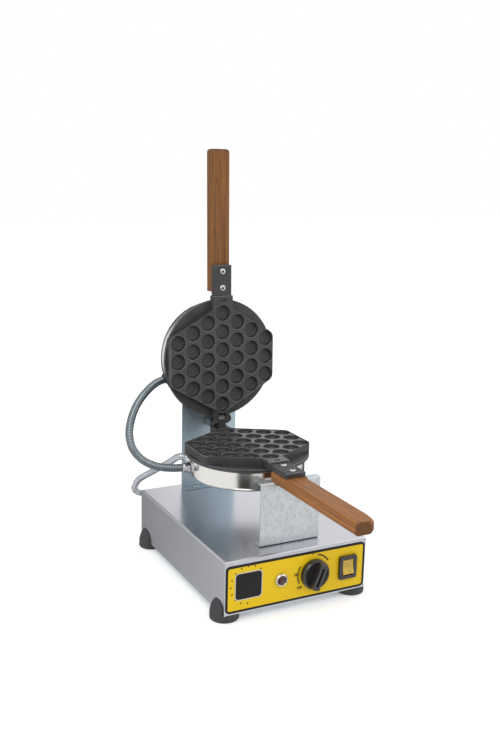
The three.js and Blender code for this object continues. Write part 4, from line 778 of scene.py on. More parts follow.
def run_tree(piece, tree, material, values):
    """Runs a tree on a piece with its inputs set by identifier, and keeps the result as a plain mesh."""
    step = piece.modifiers.new(tree.name, "NODES")
    step.node_group = tree
    names = {item.name: item.identifier for item in tree.interface.items_tree if item.in_out == "INPUT"}
    for label, value in {**values, "Finish": finish(material)}.items():
        step[names[label]] = value
    if piece.type == "MESH":
        return settle(piece)
    name, mesh = piece.name, evaluated_mesh(piece)
    bpy.data.objects.remove(piece)
    return add_object(name, mesh)


def cell_tree():
    """Bubble cells by rule: columns half a pitch out of step, each shorter the further it is from the middle."""
    tree, given, add = start_tree("Bubble cells", {
        "Cutter": "Object", "Pitch": "Float", "Columns": "Int", "Longest column": "Int"})
    pitch, columns, longest = given["Pitch"], given["Columns"], given["Longest column"]
    index = add("GeometryNodeInputIndex", out="Index")
    nudged = add("ShaderNodeMath", {0: index, 1: 0.5}, "Value", operation="ADD")
    column = add("ShaderNodeMath", {0: nudged, 1: longest}, "Value", operation="DIVIDE")
    column = add("ShaderNodeMath", {0: column}, "Value", operation="FLOOR")
    first = add("ShaderNodeMath", {0: column, 1: longest}, "Value", operation="MULTIPLY")
    row = add("ShaderNodeMath", {0: index, 1: first}, "Value", operation="SUBTRACT")
    last = add("ShaderNodeMath", {0: columns, 1: 1.0}, "Value", operation="SUBTRACT")
    middle = add("ShaderNodeMath", {0: last, 1: 2.0}, "Value", operation="DIVIDE")
    from_middle = add("ShaderNodeMath", {0: column, 1: middle}, "Value", operation="SUBTRACT")
    shorter = add("ShaderNodeMath", {0: from_middle}, "Value", operation="ABSOLUTE")
    cells = add("ShaderNodeMath", {0: longest, 1: shorter}, "Value", operation="SUBTRACT")
    side = add("ShaderNodeMath", {0: from_middle, 1: pitch}, "Value", operation="MULTIPLY")
    side = add("ShaderNodeMath", {0: side, 1: math.cos(math.pi / 6)}, "Value", operation="MULTIPLY")
    top = add("ShaderNodeMath", {0: cells, 1: 1.0}, "Value", operation="SUBTRACT")
    top = add("ShaderNodeMath", {0: top, 1: 2.0}, "Value", operation="DIVIDE")
    along = add("ShaderNodeMath", {0: row, 1: top}, "Value", operation="SUBTRACT")
    along = add("ShaderNodeMath", {0: along, 1: pitch}, "Value", operation="MULTIPLY")
    spot = add("ShaderNodeCombineXYZ", {"X": side, "Y": along}, "Vector")
    total = add("ShaderNodeMath", {0: columns, 1: longest}, "Value", operation="MULTIPLY")
    points = add("GeometryNodePoints", {"Count": total, "Position": spot}, 0)
    past = add("ShaderNodeMath", {0: row, 1: 0.5}, "Value", operation="ADD")
    outside = add("FunctionNodeCompare", {0: past, 1: cells}, "Result", data_type="FLOAT",
                  operation="GREATER_EQUAL")
    kept = add("GeometryNodeDeleteGeometry", {"Geometry": points, "Selection": outside}, "Geometry", domain="POINT")
    cutter = add("GeometryNodeObjectInfo", {"Object": given["Cutter"]}, "Geometry")
    cups = add("GeometryNodeInstanceOnPoints", {"Points": kept, "Instance": cutter}, "Instances")
    tools = add("GeometryNodeRealizeInstances", {"Geometry": cups}, "Geometry")
    cut = add("GeometryNodeMeshBoolean", {"Mesh 1": given["Geometry"], "Mesh 2": tools}, "Mesh",
              operation="DIFFERENCE", solver="MANIFOLD")
    return end_tree(tree, given, cut)


def rib_tree():
    """Ribs along a conduit: the tube's radius swells and shrinks once in each rib's pitch."""
    tree, given, add = start_tree("Conduit ribs", {"Radius": "Float", "Rib pitch": "Float", "Rib depth": "Float"})
    steps_in_rib, groove_sharpness, ring_corners = 6.0, 1.6, 20
    step = add("ShaderNodeMath", {0: given["Rib pitch"], 1: steps_in_rib}, "Value", operation="DIVIDE")
    path = add("GeometryNodeResampleCurve", {"Curve": given["Geometry"], "Length": step}, "Curve", mode="LENGTH")
    along = add("GeometryNodeSplineParameter", out="Length")
    ribs = add("ShaderNodeMath", {0: along, 1: given["Rib pitch"]}, "Value", operation="DIVIDE")
    turn = add("ShaderNodeMath", {0: ribs, 1: 2 * math.pi}, "Value", operation="MULTIPLY")
    wave = add("ShaderNodeMath", {0: turn}, "Value", operation="COSINE")
    wave = add("ShaderNodeMath", {0: wave, 1: 1.0}, "Value", operation="ADD")
    wave = add("ShaderNodeMath", {0: wave, 1: 0.5}, "Value", operation="MULTIPLY")
    groove = add("ShaderNodeMath", {0: wave, 1: groove_sharpness}, "Value", operation="POWER")
    depth = add("ShaderNodeMath", {0: given["Rib depth"], 1: given["Radius"]}, "Value", operation="DIVIDE")
    depth = add("ShaderNodeMath", {0: groove, 1: depth}, "Value", operation="MULTIPLY")
    width = add("ShaderNodeMath", {0: 1.0, 1: depth}, "Value", operation="SUBTRACT")
    # The groove mark is where the conduit's finish paints shade between the ribs
    marked = add("GeometryNodeStoreNamedAttribute", {"Geometry": path, "Name": "groove", "Value": groove},
                 "Geometry", data_type="FLOAT", domain="POINT")
    ring = add("GeometryNodeCurvePrimitiveCircle", {"Resolution": ring_corners, "Radius": given["Radius"]}, "Curve",
               mode="RADIUS")
    tube = add("GeometryNodeCurveToMesh", {"Curve": marked, "Profile Curve": ring, "Scale": width, "Fill Caps": True},
               "Mesh")
    smooth = add("GeometryNodeSetShadeSmooth", {"Geometry": tube}, "Geometry")
    return end_tree(tree, given, smooth)


def fastener_tree():
    """One fastener on each of a piece's points, each turned to a place of its own."""
    tree, given, add = start_tree("Fasteners", {"Fastener": "Object", "Seed": "Int"})
    spots = add("GeometryNodeMeshToPoints", {"Mesh": given["Geometry"]}, "Points")
    turn = add("FunctionNodeRandomValue", {"Seed": given["Seed"], 2: 0.0, 3: math.pi}, 1, data_type="FLOAT")
    angle = add("ShaderNodeCombineXYZ", {"Z": turn}, "Vector")
    part = add("GeometryNodeObjectInfo", {"Object": given["Fastener"]}, "Geometry")
    placed = add("GeometryNodeInstanceOnPoints", {"Points": spots, "Instance": part, "Rotation": angle}, "Instances")
    return end_tree(tree, given, placed)


def tick_tree():
    """Printed ticks round a dial: bars of one length on an arc, each pointing to the dial's centre."""
    tree, given, add = start_tree("Dial ticks", {
        "Count": "Int", "Radius": "Float", "First angle": "Float", "Step angle": "Float", "Tick size": "Vector"})
    index = add("GeometryNodeInputIndex", out="Index")
    past = add("ShaderNodeMath", {0: index, 1: given["Step angle"]}, "Value", operation="MULTIPLY")
    angle = add("ShaderNodeMath", {0: given["First angle"], 1: past}, "Value", operation="ADD")
    place = {}
    for axis, operation in (("X", "COSINE"), ("Y", "SINE")):
        part = add("ShaderNodeMath", {0: angle}, "Value", operation=operation)
        place[axis] = add("ShaderNodeMath", {0: part, 1: given["Radius"]}, "Value", operation="MULTIPLY")
    spot = add("ShaderNodeCombineXYZ", place, "Vector")
    points = add("GeometryNodePoints", {"Count": given["Count"], "Position": spot}, 0)
    turn = add("ShaderNodeCombineXYZ", {"Z": angle}, "Vector")
    bar = add("GeometryNodeMeshCube", {"Size": given["Tick size"]}, "Mesh")
    placed = add("GeometryNodeInstanceOnPoints", {"Points": points, "Instance": bar, "Rotation": turn}, "Instances")
    return end_tree(tree, given, placed)


# Pieces of the case

def make_case_cover():
    """One sheet folded over top and sides, with a lip turned down at the front and the rear."""
    fold, sheet = chosen("case").fold_radius / MM, chosen("case").sheet / MM
    front_lip, rear_lip, over = 4, 8, 5
    low, high = CASE_LOW, CASE_HIGH

    def hood(grow, base, bend):
        shape = block(low.x - grow, high.x + grow, low.y - grow, high.y + grow, base, high.z + grow)
        top = [e for e in shape.edges if all(abs(v.co.z - high.z - grow) < 1e-4 for v in e.verts)]
        bmesh.ops.bevel(shape, geom=top, offset=bend, segments=4, profile=0.5, affect="EDGES")
        return shape

    cover = keep("case_cover", hood(0.0, low.z, fold))
    ends = [block(low.x + sheet, high.x - sheet, y - over, y + over, low.z - over, high.z - lip)
            for y, lip in ((low.y, front_lip), (high.y, rear_lip))]
    carve(cover, hood(-sheet, low.z - over, fold - sheet), *ends)
    dress(cover, finish("stainless_along"), "base", ["case_shell"], sharp=40, level=True)


def make_panels():
    """Front, rear and base sheets, with their edges broken."""
    for node, material in (
            ("front_panel", "stainless_across"), ("rear_panel", "stainless_across"), ("base_plate", "zinc_plate")):
        dress(soften(node_copy(node + "_sheet", node), 0.2, 1), finish(material), "base", [node])


def printed(name, shape, material, lift=0.0):
    """A thin print on the label, drawn in X and Z."""
    return fitted(name, shape, Matrix.Translation((0, LABEL_FRONT - lift, 0)) @ UPRIGHT, material, "base")


def numeral(name, words, x, z, height):
    """A printed number, as a thin mesh centred on a place of the label."""
    text = bpy.data.curves.new(name, "FONT")
    text.body = words
    text.align_x = text.align_y = "CENTER"
    text.size = height
    text.extrude = 0.05
    text.offset = 0.2
    holder = add_object(name + "_text", text)
    shape = shape_of(evaluated_mesh(holder))
    bpy.data.objects.remove(holder)
    bmesh.ops.remove_doubles(shape, verts=shape.verts, dist=1e-5)
    bmesh.ops.translate(shape, vec=(x, z, 0.06), verts=shape.verts)
    return printed(name, shape, "black_print")


def dial_ticks(name, x, z, count, radius, first, step, width):
    """A row of printed ticks round a dial's centre."""
    ticks = run_tree(keep(name, bmesh.new()), tick_tree(), "black_print", {
        "Count": count, "Radius": radius * MM, "First angle": math.radians(first),
        "Step angle": math.radians(step), "Tick size": [s * MM for s in (3.2, width, 0.2)]})
    put_in_place(ticks, Matrix.Translation((x, LABEL_FRONT, z)) @ UPRIGHT)
    dress(ticks, finish("black_print"), "base")


def make_label():
    """Printed front label: black border, yellow field, dial marks and a blank plate at the left."""
    for node, material in (("label_border", "black_print"), ("label_field", "yellow_print")):
        dress(node_copy(node + "_film", node), finish(material), "base", [node])
    dial_ticks("left_dial_ticks", DIAL_X, DIAL_Z, chosen("case").tick_count, 27.8, 48, 22, 1.5)
    dial_ticks("heat_dial_ticks", KNOB_X, CONTROL_Z, 14, 26.2, 150, 4.2, 1.2)
    ink = 0.1
    arc = (KNOB_X, CONTROL_Z - 0.3)
    band = arc_points(*arc, 29.5, 34, 78, 24) + arc_points(*arc, 27.5, 78, 34, 24)
    printed("heat_arc", prism(band, 0.0, ink), "black_print")
    printed("heat_dot", prism(arc_points(KNOB_X - 2.1, 80.5, 1.1, 0, 345, 23), 0.0, ink), "black_print")
    numeral("heat_mark_low", "50", KNOB_X - 29.5, 53.5, 6)
    numeral("heat_mark_mid", "100", KNOB_X - 23.5, 32.5, 6)
    rim, face = 0.3, 0.12
    plate = rectangle(DIAL_X - 21.4, DIAL_X + 21.4, DIAL_Z - 21, DIAL_Z + 19.5, 6)
    printed("blank_plate_rim", prism(plate, 0.0, rim), "silver_print")
    plate = rectangle(DIAL_X - 20.2, DIAL_X + 20.2, DIAL_Z - 19.8, DIAL_Z + 18.3, 5)
    printed("blank_plate_face", prism(plate, 0.0, face), "black_print", rim)


def make_feet():
    """Rubber feet: a dome cut by the case, so that a tongue stands up its wall."""
    radius, tongue = chosen("case").foot_radius / MM, chosen("case").foot_tongue / MM
    sunk, gap, aside = 4, 0.3, 40
    crown, rise = CASE_LOW.z - sunk, tongue + sunk
    profile = [(0, 0), (radius - 2.2, 0), (radius - 1.2, 0.35), (radius - 0.35, 1.2), (radius, 2.2)]
    profile += arc_points(0, crown, radius, 0, 90, 16, rise)[:-1] + [(0, crown + rise)]
    for name, x, y in (
            ("front_left", -FOOT_X, FOOT_FRONT_Y), ("front_right", FOOT_X, FOOT_FRONT_Y),
            ("rear_left", -FOOT_X, FOOT_REAR_Y), ("rear_right", FOOT_X, FOOT_REAR_Y)):
        place = Matrix.Translation((x, y, 0))
        foot = keep("rubber_foot_" + name, lathe(profile, 64), place)
        case = block(CASE_LOW.x - gap, CASE_HIGH.x + gap, CASE_LOW.y - aside, CASE_HIGH.y + aside,
                     CASE_LOW.z - gap, CASE_HIGH.z)
        carve(foot, case, moved(rod(6.5, -2, 6), place))
        dress(soften(foot, 0.5, 2, 40), finish("rubber"), "base", ["foot_" + name])


# Brackets and pivot

def corner_tool(x, y, radius, side, low, high):
    """Cuts a square corner round; the side says whether it points to the left or the right."""
    arc = arc_points(x - side * radius, y - radius, side * radius, 0, 90, 8, radius)
    return prism([(x + side, arc[0][1])] + arc + [(arc[-1][0], y + 1), (x + side, y + 1)], low, high)


def make_rear_bracket():
    """Tall zinc-plated sheet with its foot bent forward and round upper corners."""
    low, high = (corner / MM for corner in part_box("rear_bracket"))
    sheet, bend, corner, over = BRACKET_SHEET, 3.2, 10, 5
    section = rounded([
        (low.y, low.z, 0), (high.y, low.z, bend), (high.y, high.z, 0), (high.y - sheet, high.z, 0),
        (high.y - sheet, low.z + sheet, bend - sheet), (low.y, low.z + sheet, 0)])
    bracket = keep("rear_bracket_sheet", prism(section, low.x, high.x), ALONG_X)
    for x, side in ((low.x, -1), (high.x, 1)):
        carve(bracket, moved(corner_tool(x, high.z, corner, side, -high.y - over, -high.y + over), UPRIGHT))
    carve(bracket, moved(rod(9.3, 200, 240, 40), PIVOT_PLACE))
    dress(soften(bracket, 0.25, 2, 50), finish("zinc_plate"), "base", ["rear_bracket"], level=True)


def make_front_bracket():
    """Galvanised sheet with a foot and a ledge bent to the rear, and a round cradle cut through."""
    low, high = (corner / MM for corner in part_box("front_bracket"))
    sheet, bend, corner, over = BRACKET_SHEET, 2.8, 4, 5
    ledge = low.y + 12.5
    section = rounded([
        (high.y, low.z, 0), (low.y, low.z, bend), (low.y, high.z, bend), (ledge, high.z, 0),
        (ledge, high.z - sheet, 0), (low.y + sheet, high.z - sheet, bend - sheet),
        (low.y + sheet, low.z + sheet, bend - sheet), (high.y, low.z + sheet, 0)])
    bracket = keep("front_bracket_sheet", prism(section, low.x, high.x), ALONG_X)
    for x, side in ((low.x, -1), (high.x, 1)):
        for y, z in ((ledge, high.z), (high.y, low.z)):
            carve(bracket, corner_tool(x, y, corner, side, z - over, z + over))
    carve(bracket, moved(rod(CRADLE_RADIUS, low.y - over, high.y + over, 96), PIVOT_PLACE))
    dress(soften(bracket, 0.25, 2, 50), finish("galvanised_sheet"), "base", ["front_bracket"], level=True)


def hexagon(across, low, high, bore):
    """A nut or collar: six flats with their corners turned off, and a bore."""
    corner = across / 2 / math.cos(math.pi / 6)
    turned = (corner - across / 2) * 0.55
    flats = keep("nut", prism(arc_points(0, 0, corner, 0, 300, 5), low, high))
    carve(flats, lathe([(0, low), (corner - turned, low), (corner, low + turned), (corner, high - turned),
                        (corner - turned, high), (0, high)], 40), operation="INTERSECT")
    carve(flats, rod(bore, low - 1, high + 1))
    shape = shape_of(flats.data)
    bmesh.ops.scale(shape, vec=(1 / MM, 1 / MM, 1 / MM), verts=shape.verts)
    bpy.data.objects.remove(flats)
    return shape


def make_pivot():
    """Bush, shoulder shaft and nut at the rear bracket, and the hinge pin."""
    fitted("pivot_bush_flange", lathe([
        (SHAFT_BORE, 216.5), (9, 216.5), (9, 219.8), (13, 219.8), (13, 222.2), (12.4, 222.8), (SHAFT_BORE, 222.8)],
        closed=True), PIVOT_PLACE, "brass", "base", ["pivot_bush"])
    fitted("pivot_shaft_turned", lathe([
        (0, 185.5), (6, 185.5), (6, 193.8), (8.4, 193.8), (9, 194.4), (9, 215.6), (8.4, 216.2), (6, 216.2),
        (6, 232.3), (5.2, 233.1), (0, 233.1)]), PIVOT_PLACE, "bearing_steel", "lower_iron", ["pivot_shaft"])
    fitted("pivot_nut_hexagon", hexagon(18, 223.1, 229.1, SHAFT_BORE), PIVOT_PLACE, "zinc_screw", "lower_iron",
           ["pivot_nut"])
    fitted("hinge_pin_turned", lathe([
        (0, -16), (3.4, -16), (4, -15.4), (4, 14.3), (6, 14.3), (6, 17), (5, 18), (0, 18)], 40),
        LOWER_PLACE @ Matrix.Translation(HINGE) @ ACROSS, "black_oxide", "lower_iron", ["hinge_pin"])


# Irons

def hex_ring(inset, height):
    """One ring of the iron's six-sided outline, with softened corners, at a height."""
    pitch = chosen("iron").cell_pitch / MM
    lean = math.cos(math.pi / 6)
    wall = pitch * 3 * lean + CELL_MARGIN - inset
    slant = pitch * 2.5 * lean + CELL_MARGIN - inset
    half, tip = (slant - wall / 2) / lean, slant / lean
    corners = [(wall, -half), (wall, half), (0, tip), (-wall, half), (-wall, -half), (0, -tip)]
    points = []
    for i, corner in enumerate(corners):
        here = Vector(corner)
        enter = here + (Vector(corners[i - 1]) - here).normalized() * CORNER_CUT
        leave = here + (Vector(corners[(i + 1) % 6]) - here).normalized() * CORNER_CUT
        for t in (k / 8 for k in range(9)):
            spot = enter * (1 - t) ** 2 + here * 2 * t * (1 - t) + leave * t ** 2
            points.append((spot.x, spot.y, height))
    return points


def cell_cutter():
    """One cell: a level floor, a curved wall and a rounded mouth."""
    radius, depth = chosen("iron").cell_radius / MM, chosen("iron").cell_depth / MM
    floor, mouth, over = radius * 0.66, 0.9, 3
    wall_top = -FIELD_DROP - mouth - 0.1
    profile = [(0, -depth - 0.3)] + arc_points(floor, wall_top, radius - floor, -90, 0, 6, depth - 1.8)
    profile += arc_points(radius + mouth, -FIELD_DROP - mouth, -mouth, 0, 90, 4, mouth)
    return lathe(profile + [(radius + mouth, over), (0, over)], 40)


def worn_and_highlit_edge(face):
    """Whether a face is one of the narrow ones that round a casting's outer edges over, where the coat wears and
    a highlight is painted.
    """
    turns = [edge.calc_face_angle_signed(0.0) for edge in face.edges]
    sloping = 0.1 < abs(face.normal.z) < 0.99
    narrow = face.calc_area() < 0.7 * MM * face.calc_perimeter()
    return sloping and narrow and max(turns) > math.radians(12) and min(turns) > math.radians(-8)


def bakes(face):
    """Whether a face belongs to the smooth level face that bakes."""
    return face.normal.z > 0.98 and all(vert.co.z > -1.3 * MM for vert in face.verts)


def casting_body(name, lugs):
    """One cast half face up at the height of zero: hex, round flange, neck, tang and the hinge's lugs. Its
    bubble cells are cut last."""
    edge = arc_points(FIELD_DROP, -1.4, -FIELD_DROP, 0, 90, 3, FIELD_DROP)
    rings = [(0, HEX_LOW)] + edge + [(2.2, -0.3), (2.7, -0.6), (3.0, -FIELD_DROP)]
    body = keep(name, loft([hex_ring(*ring) for ring in rings]))
    flange = lathe([
        (0, -20), (91.4, -20), (92, -19.6), (92, -19), (94.6, -18), (95.5, -16.8), (95.5, -14),
        (95.2, -13.3), (94.5, -13), (0, -13)], 128)
    neck = rounded_block(-NECK_HALF, NECK_HALF, -102, -63.6, -12.5, -0.3, 1.2)
    tang = rounded_block(-TANG_HALF, TANG_HALF, -150, -94.5, -10.5, -3, 1.0)
    carve(body, flange, neck, tang, *lugs, operation="UNION")
    slot = rounded_block(-5, 5, -97.2, -92.8, -2.7, 3, 0.8)
    holes = [moved(rod(2.7, -30, 3, 20), Matrix.Translation((0, -reach, 0))) for reach in HANDLE_SCREW_REACH]
    carve(body, slot, *holes)
    sizes = chosen("iron")
    cutter = keep("cell_cutter", cell_cutter())
    run_tree(body, cell_tree(), "cast_coat", {
        "Cutter": cutter, "Pitch": sizes.cell_pitch, "Columns": sizes.cell_columns,
        "Longest column": sizes.longest_column})
    bpy.data.objects.remove(cutter)
    return body


def eye(radius, half, height, far=None):
    """A round eye across the hinge, as a shape along X. It is centred unless its far end is given."""
    low, high = (-half, half) if far is None else (half, far)
    shape = lathe([(0, low), (radius - 0.6, low), (radius, low + 0.6), (radius, high - 0.6), (radius - 0.6, high),
                   (0, high)])
    return moved(shape, Matrix.Translation((0, HINGE_REACH, height)) @ ACROSS)


def finish_casting(body, name, iron, place):
    """Marks a casting's edge wear and painted edge highlight, and its baking face, puts it in place and dresses it.
    """
    mark_faces(body, {"edge_wear": worn_and_highlit_edge, "baking_face": bakes})
    dress(put_in_place(body, place), finish("cast_coat"), iron, [name + "_plate"], level=True)


def make_lower_plate():
    """Lower cast iron with its knuckle, its rear boss and their bores."""
    boss = moved(lathe([(0, 100), (11, 100), (11, 115.9), (10.4, 116.5), (0, 116.5)]), TO_REAR)
    body = casting_body("lower_casting", [
        rounded_block(-13, 13, 72, 109.5, -18.4, -0.3, 1.2), block(-6, 6, 91.5, 108.5, -13, 12), boss,
        eye(KNUCKLE_RADIUS, 6, HINGE_RISE)])
    carve(body, eye(PIN_BORE, 12, HINGE_RISE), moved(rod(SHAFT_BORE, 100, 130), TO_REAR))
    finish_casting(body, *IRONS[0][:3])


def make_lid_plate():
    """Lid cast iron with two ears round the hinge pin, made face up and then swung open."""
    body = casting_body("lid_casting", [
        rounded_block(-14, 14, 72, 101, -20, -3.5, 1.0), eye(KNUCKLE_RADIUS, 14, -HINGE_RISE)])
    pin, knuckle_room = eye(PIN_BORE, 30, -HINGE_RISE), eye(10.5, 6.5, -HINGE_RISE)
    stem_room = block(-6.5, 6.5, 89.5, 115, -HINGE_RISE, HINGE_RISE + 4)
    carve(body, pin, knuckle_room, stem_room, eye(6.6, -28, -HINGE_RISE, -14))
    finish_casting(body, *IRONS[1][:3])


def make_drums():
    """Stainless pans behind the irons, with a rounded edge and a rolled rim."""
    radius, edge = chosen("iron").drum_radius / MM, chosen("iron").drum_edge / MM
    turn = (radius - edge, DRUM_BACK + edge)
    profile = [(NUT_BORE, DRUM_BACK)] + arc_points(*turn, edge, -90, 0, 8)
    profile += [(radius, -21), (radius - 0.5, -20.3), (radius - DRUM_WALL, -20.6)]
    profile += arc_points(*turn, edge - DRUM_WALL, 0, -90, 8) + [(NUT_BORE, DRUM_BACK + DRUM_WALL)]
    for name, body, place, steel, _ in IRONS:
        fitted(name + "_drum_pan", lathe(profile, 128, closed=True), place, steel, body, [name + "_drum"], sharp=50)
        fitted(name + "_drum_hexagon", hexagon(10, -55.3, -50.3, NUT_BORE), place, "zinc_screw", body,
               [name + "_drum_nut"])


def handle_bar(near, far, rub):
    """A handle along -Y with chamfered long edges. Near and far are the radii of its free end's two corners, and
    rub is how much more of the far upper edge is worn away there."""
    half, top, low, start, end = 16.5, -10.8, -28.8, 108, 328
    upper_round, lower_round, wear, worn_length = 2.6, 1.8, 2.4, 32
    rings = []
    for back in (end - start, 40, 30, 22, 16, 12, 9, 6.5, 4.5, 3, 1.9, 1.0, 0.4, 0.1, 0):
        left, right, drop, lift = (
            radius - math.sqrt(max(0.0, radius ** 2 - max(0.0, radius - back) ** 2))
            for radius in (near, far, upper_round, lower_round))
        x0, x1, z0, z1 = -half + left, half - right, low + lift, top - drop
        worn = wear + rub * max(0.0, 1 - back / worn_length) ** 2
        ring = rounded([
            (x0 + 3.4, z0, 1.2), (x1 - 3.4, z0, 1.2), (x1, z0 + 3.4, 1.2), (x1, z1 - worn, worn),
            (x1 - worn, z1, worn), (x0 + 2.4, z1, 0.9), (x0, z1 - 2.4, 0.9), (x0, z0 + 3.4, 1.2)], 3)
        rings.append([(x, back - end, z) for x, z in ring])
    return loft(rings)


def make_handles():
    """Beech handles: long edges chamfered, and the corners of the free ends rubbed round, no two alike."""
    for (name, body, place, _, wood), corners in zip(IRONS, ((2.5, 13, 4.2), (5, 5, 0.6))):
        handle = soften(keep(name + "_handle_wood", handle_bar(*corners)), 0.7, 2, 60)
        dress(put_in_place(handle, place), finish(wood), body, [name + "_handle"], level=True)


def screw_shape(head, height, shank, length, cross):
    """A pan-head screw along Z, its head's underside at zero, with a slot or a cross in its head."""
    dome = arc_points(0, height * 0.35, head, 0, 90, 6, height * 0.65)[:-1]
    screw = keep("screw", lathe([(0, -length), (shank * 0.7, -length), (shank, -length + 1), (shank, 0), (head, 0)]
                                + dome + [(0, height)], 28))
    wide, thin, deep = (head * 0.6, head * 0.17, height * 0.1) if cross else (head * 2, head * 0.13, height * 0.5)
    bars = [(wide, thin), (thin, wide)] if cross else [(wide, thin)]
    carve(screw, *(block(-x, x, -y, y, deep, height * 2) for x, y in bars))

    # The recess faces are marked so that the screw finish paints them dark as shade in the slot or cross
    def recess(face):
        centre = face.calc_center_median() / MM
        wall, floor = abs(face.normal.z) < 0.05, face.normal.z > 0.99 and centre.z < height * 0.6
        return centre.z > 0 and centre.xy.length < head * 0.7 and (wall or floor)

    return mark_faces(screw, {"recess": recess})


def place_screws(name, spots, screw, place, body, seed, replaced):
    """One screw on each spot, in one mesh for a body."""
    shape = bmesh.new()
    for spot in spots:
        shape.verts.new(spot)
    piece = run_tree(keep(name, shape), fastener_tree(), "zinc_screw", {"Fastener": screw, "Seed": seed})
    bpy.data.objects.remove(screw)
    dress(put_in_place(piece, place), finish("zinc_screw"), body, replaced)


def make_screws():
    """Bracket, foot and handle screws."""
    on_case = 94.1
    bracket_spots = ((-27.5, 207), (27.5, 207), (-36, -49.9), (36, -49.9))
    place_screws("bracket_screws", [(x, y, on_case) for x, y in bracket_spots],
                 screw_shape(4.6, 2.6, 2, 12, False), Matrix.Identity(4), "base", 4,
                 [end + "_bracket_screw_" + side for end in ("rear", "front") for side in ("left", "right")])
    flip = Matrix.Translation((0, 0, 5.7)) @ Matrix.Rotation(math.pi, 4, "X")
    place_screws("foot_screws", [(x, -y, 0) for y in (FOOT_FRONT_Y, FOOT_REAR_Y) for x in (-FOOT_X, FOOT_X)],
                 screw_shape(4.6, 2.6, 2, 15, True), flip, "base", 7,
                 ["foot_screw_" + end + side for end in ("front_", "rear_") for side in ("left", "right")])
    on_tang = -2.7
    for name, body, place, *_ in IRONS:
        place_screws(name + "_handle_screws", [(0, -reach, on_tang) for reach in HANDLE_SCREW_REACH],
                     screw_shape(4.7, 2.2, 2.4, 18, True), place, body, 11,
                     [name + "_handle_screw_1", name + "_handle_screw_2"])


# Conduits and their fittings

# Listed points of the two conduits, from the case's front middle edge at its bottom
LID_CONDUIT_POINTS = [
    (-120, 286, 254), (-139, 275, 238), (-153, 262, 220), (-162, 247, 200),
    (-162, 231, 181), (-151, 216, 166), (-133, 203, 158),
]
SUPPLY_CONDUIT_POINTS = [
    (-84, 278, 135), (-99, 309, 113), (-112, 336, 93), (-111, 359, 75),
    (-104, 381, 58), (-89, 394, 46), (-63, 390, 41), (-44, 373, 39),
]


def fitting_end(angle, reach, on_lid=False):
    """Where a drum's fitting ends, and which way its conduit leaves."""
    a = math.radians(angle)
    out = Vector((-math.cos(a), math.sin(a), 0))
    end = out * (FITTING_WALL + reach + HOSE_CLEARANCE)
    end.z = -FITTING_Z if on_lid else FITTING_Z
    if on_lid:
        end, out = LID_SWING @ end, LID_SWING.to_3x3() @ out
    return LOWER_PLACE @ end, out


def conduit_route(start, points, end, run):
    """The points of a conduit: straight out of one fitting, through the placed points, straight into the other."""
    middle = [Vector((x, CASE_LOW.y + y, CASE_LOW.z + z)) for x, y, z in points]
    return [start[0], start[0] + start[1] * run] + middle + [end[0] + end[1] * run, end[0]]


def smooth_route(route, steps=12):
    """A curve through the points, its bends shared out by the root of their distances."""
    ends = [route[0] * 2 - route[1]] + route + [route[-1] * 2 - route[-2]]
    path = []
    for p0, p1, p2, p3 in zip(ends, ends[1:], ends[2:], ends[3:]):
        d0, d1, d2 = ((b - a).length ** 0.5 for a, b in ((p0, p1), (p1, p2), (p2, p3)))
        into = ((p1 - p0) / d0 - (p2 - p0) / (d0 + d1) + (p2 - p1) / d1) * d1
        onto = ((p2 - p1) / d1 - (p3 - p1) / (d1 + d2) + (p3 - p2) / d2) * d1
        for t in (k / steps for k in range(steps)):
            path.append(p1 * (2 * t ** 3 - 3 * t ** 2 + 1) + into * (t ** 3 - 2 * t ** 2 + t)
                        + p2 * (3 * t ** 2 - 2 * t ** 3) + onto * (t ** 3 - t ** 2))
    return path + [route[-1]]


def make_conduit(name, route, radius, node, material):
    """One strip-wound conduit along its route, which takes the place of the model's conduit node."""
    sizes = chosen("conduit")
    path = [point * MM for point in smooth_route(route)]
    line = bpy.data.curves.new(name, "CURVE")
    line.dimensions = "3D"
    spline = line.splines.new("POLY")
    spline.points.add(len(path) - 1)
    for point, place in zip(spline.points, path):
        point.co = (*place, 1.0)
    hose = run_tree(add_object(name, line), rib_tree(), material, {
        "Radius": radius, "Rib pitch": sizes.rib_pitch, "Rib depth": sizes.rib_depth})
    hose.data.materials.clear()
    hose.data.materials.append(finish(material))
    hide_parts(node)
    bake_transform(hose)


def make_conduits():
    """The conduit between the two irons, and the one from the lower iron to the case."""
    sizes = chosen("conduit")
    lid = fitting_end(LID_HOSE_ANGLE, LID_FITTING_REACH, True)
    lower = fitting_end(LOWER_HOSE_ANGLE, FITTING_REACH)
    supply = fitting_end(SUPPLY_HOSE_ANGLE, FITTING_REACH)
    entry = (Vector((ENTRY_X, CASE_HIGH.y + 18.3, ENTRY_Z)), Vector((0, 1, 0)))
    make_conduit("lid_conduit", conduit_route(lid, LID_CONDUIT_POINTS, lower, 12.6), sizes.lid_radius,
                 "conduit_lid", "strip_steel")
    make_conduit("supply_conduit", conduit_route(supply, SUPPLY_CONDUIT_POINTS, entry, 11.0),
                 sizes.supply_radius, "conduit_supply", "pale_strip_steel")


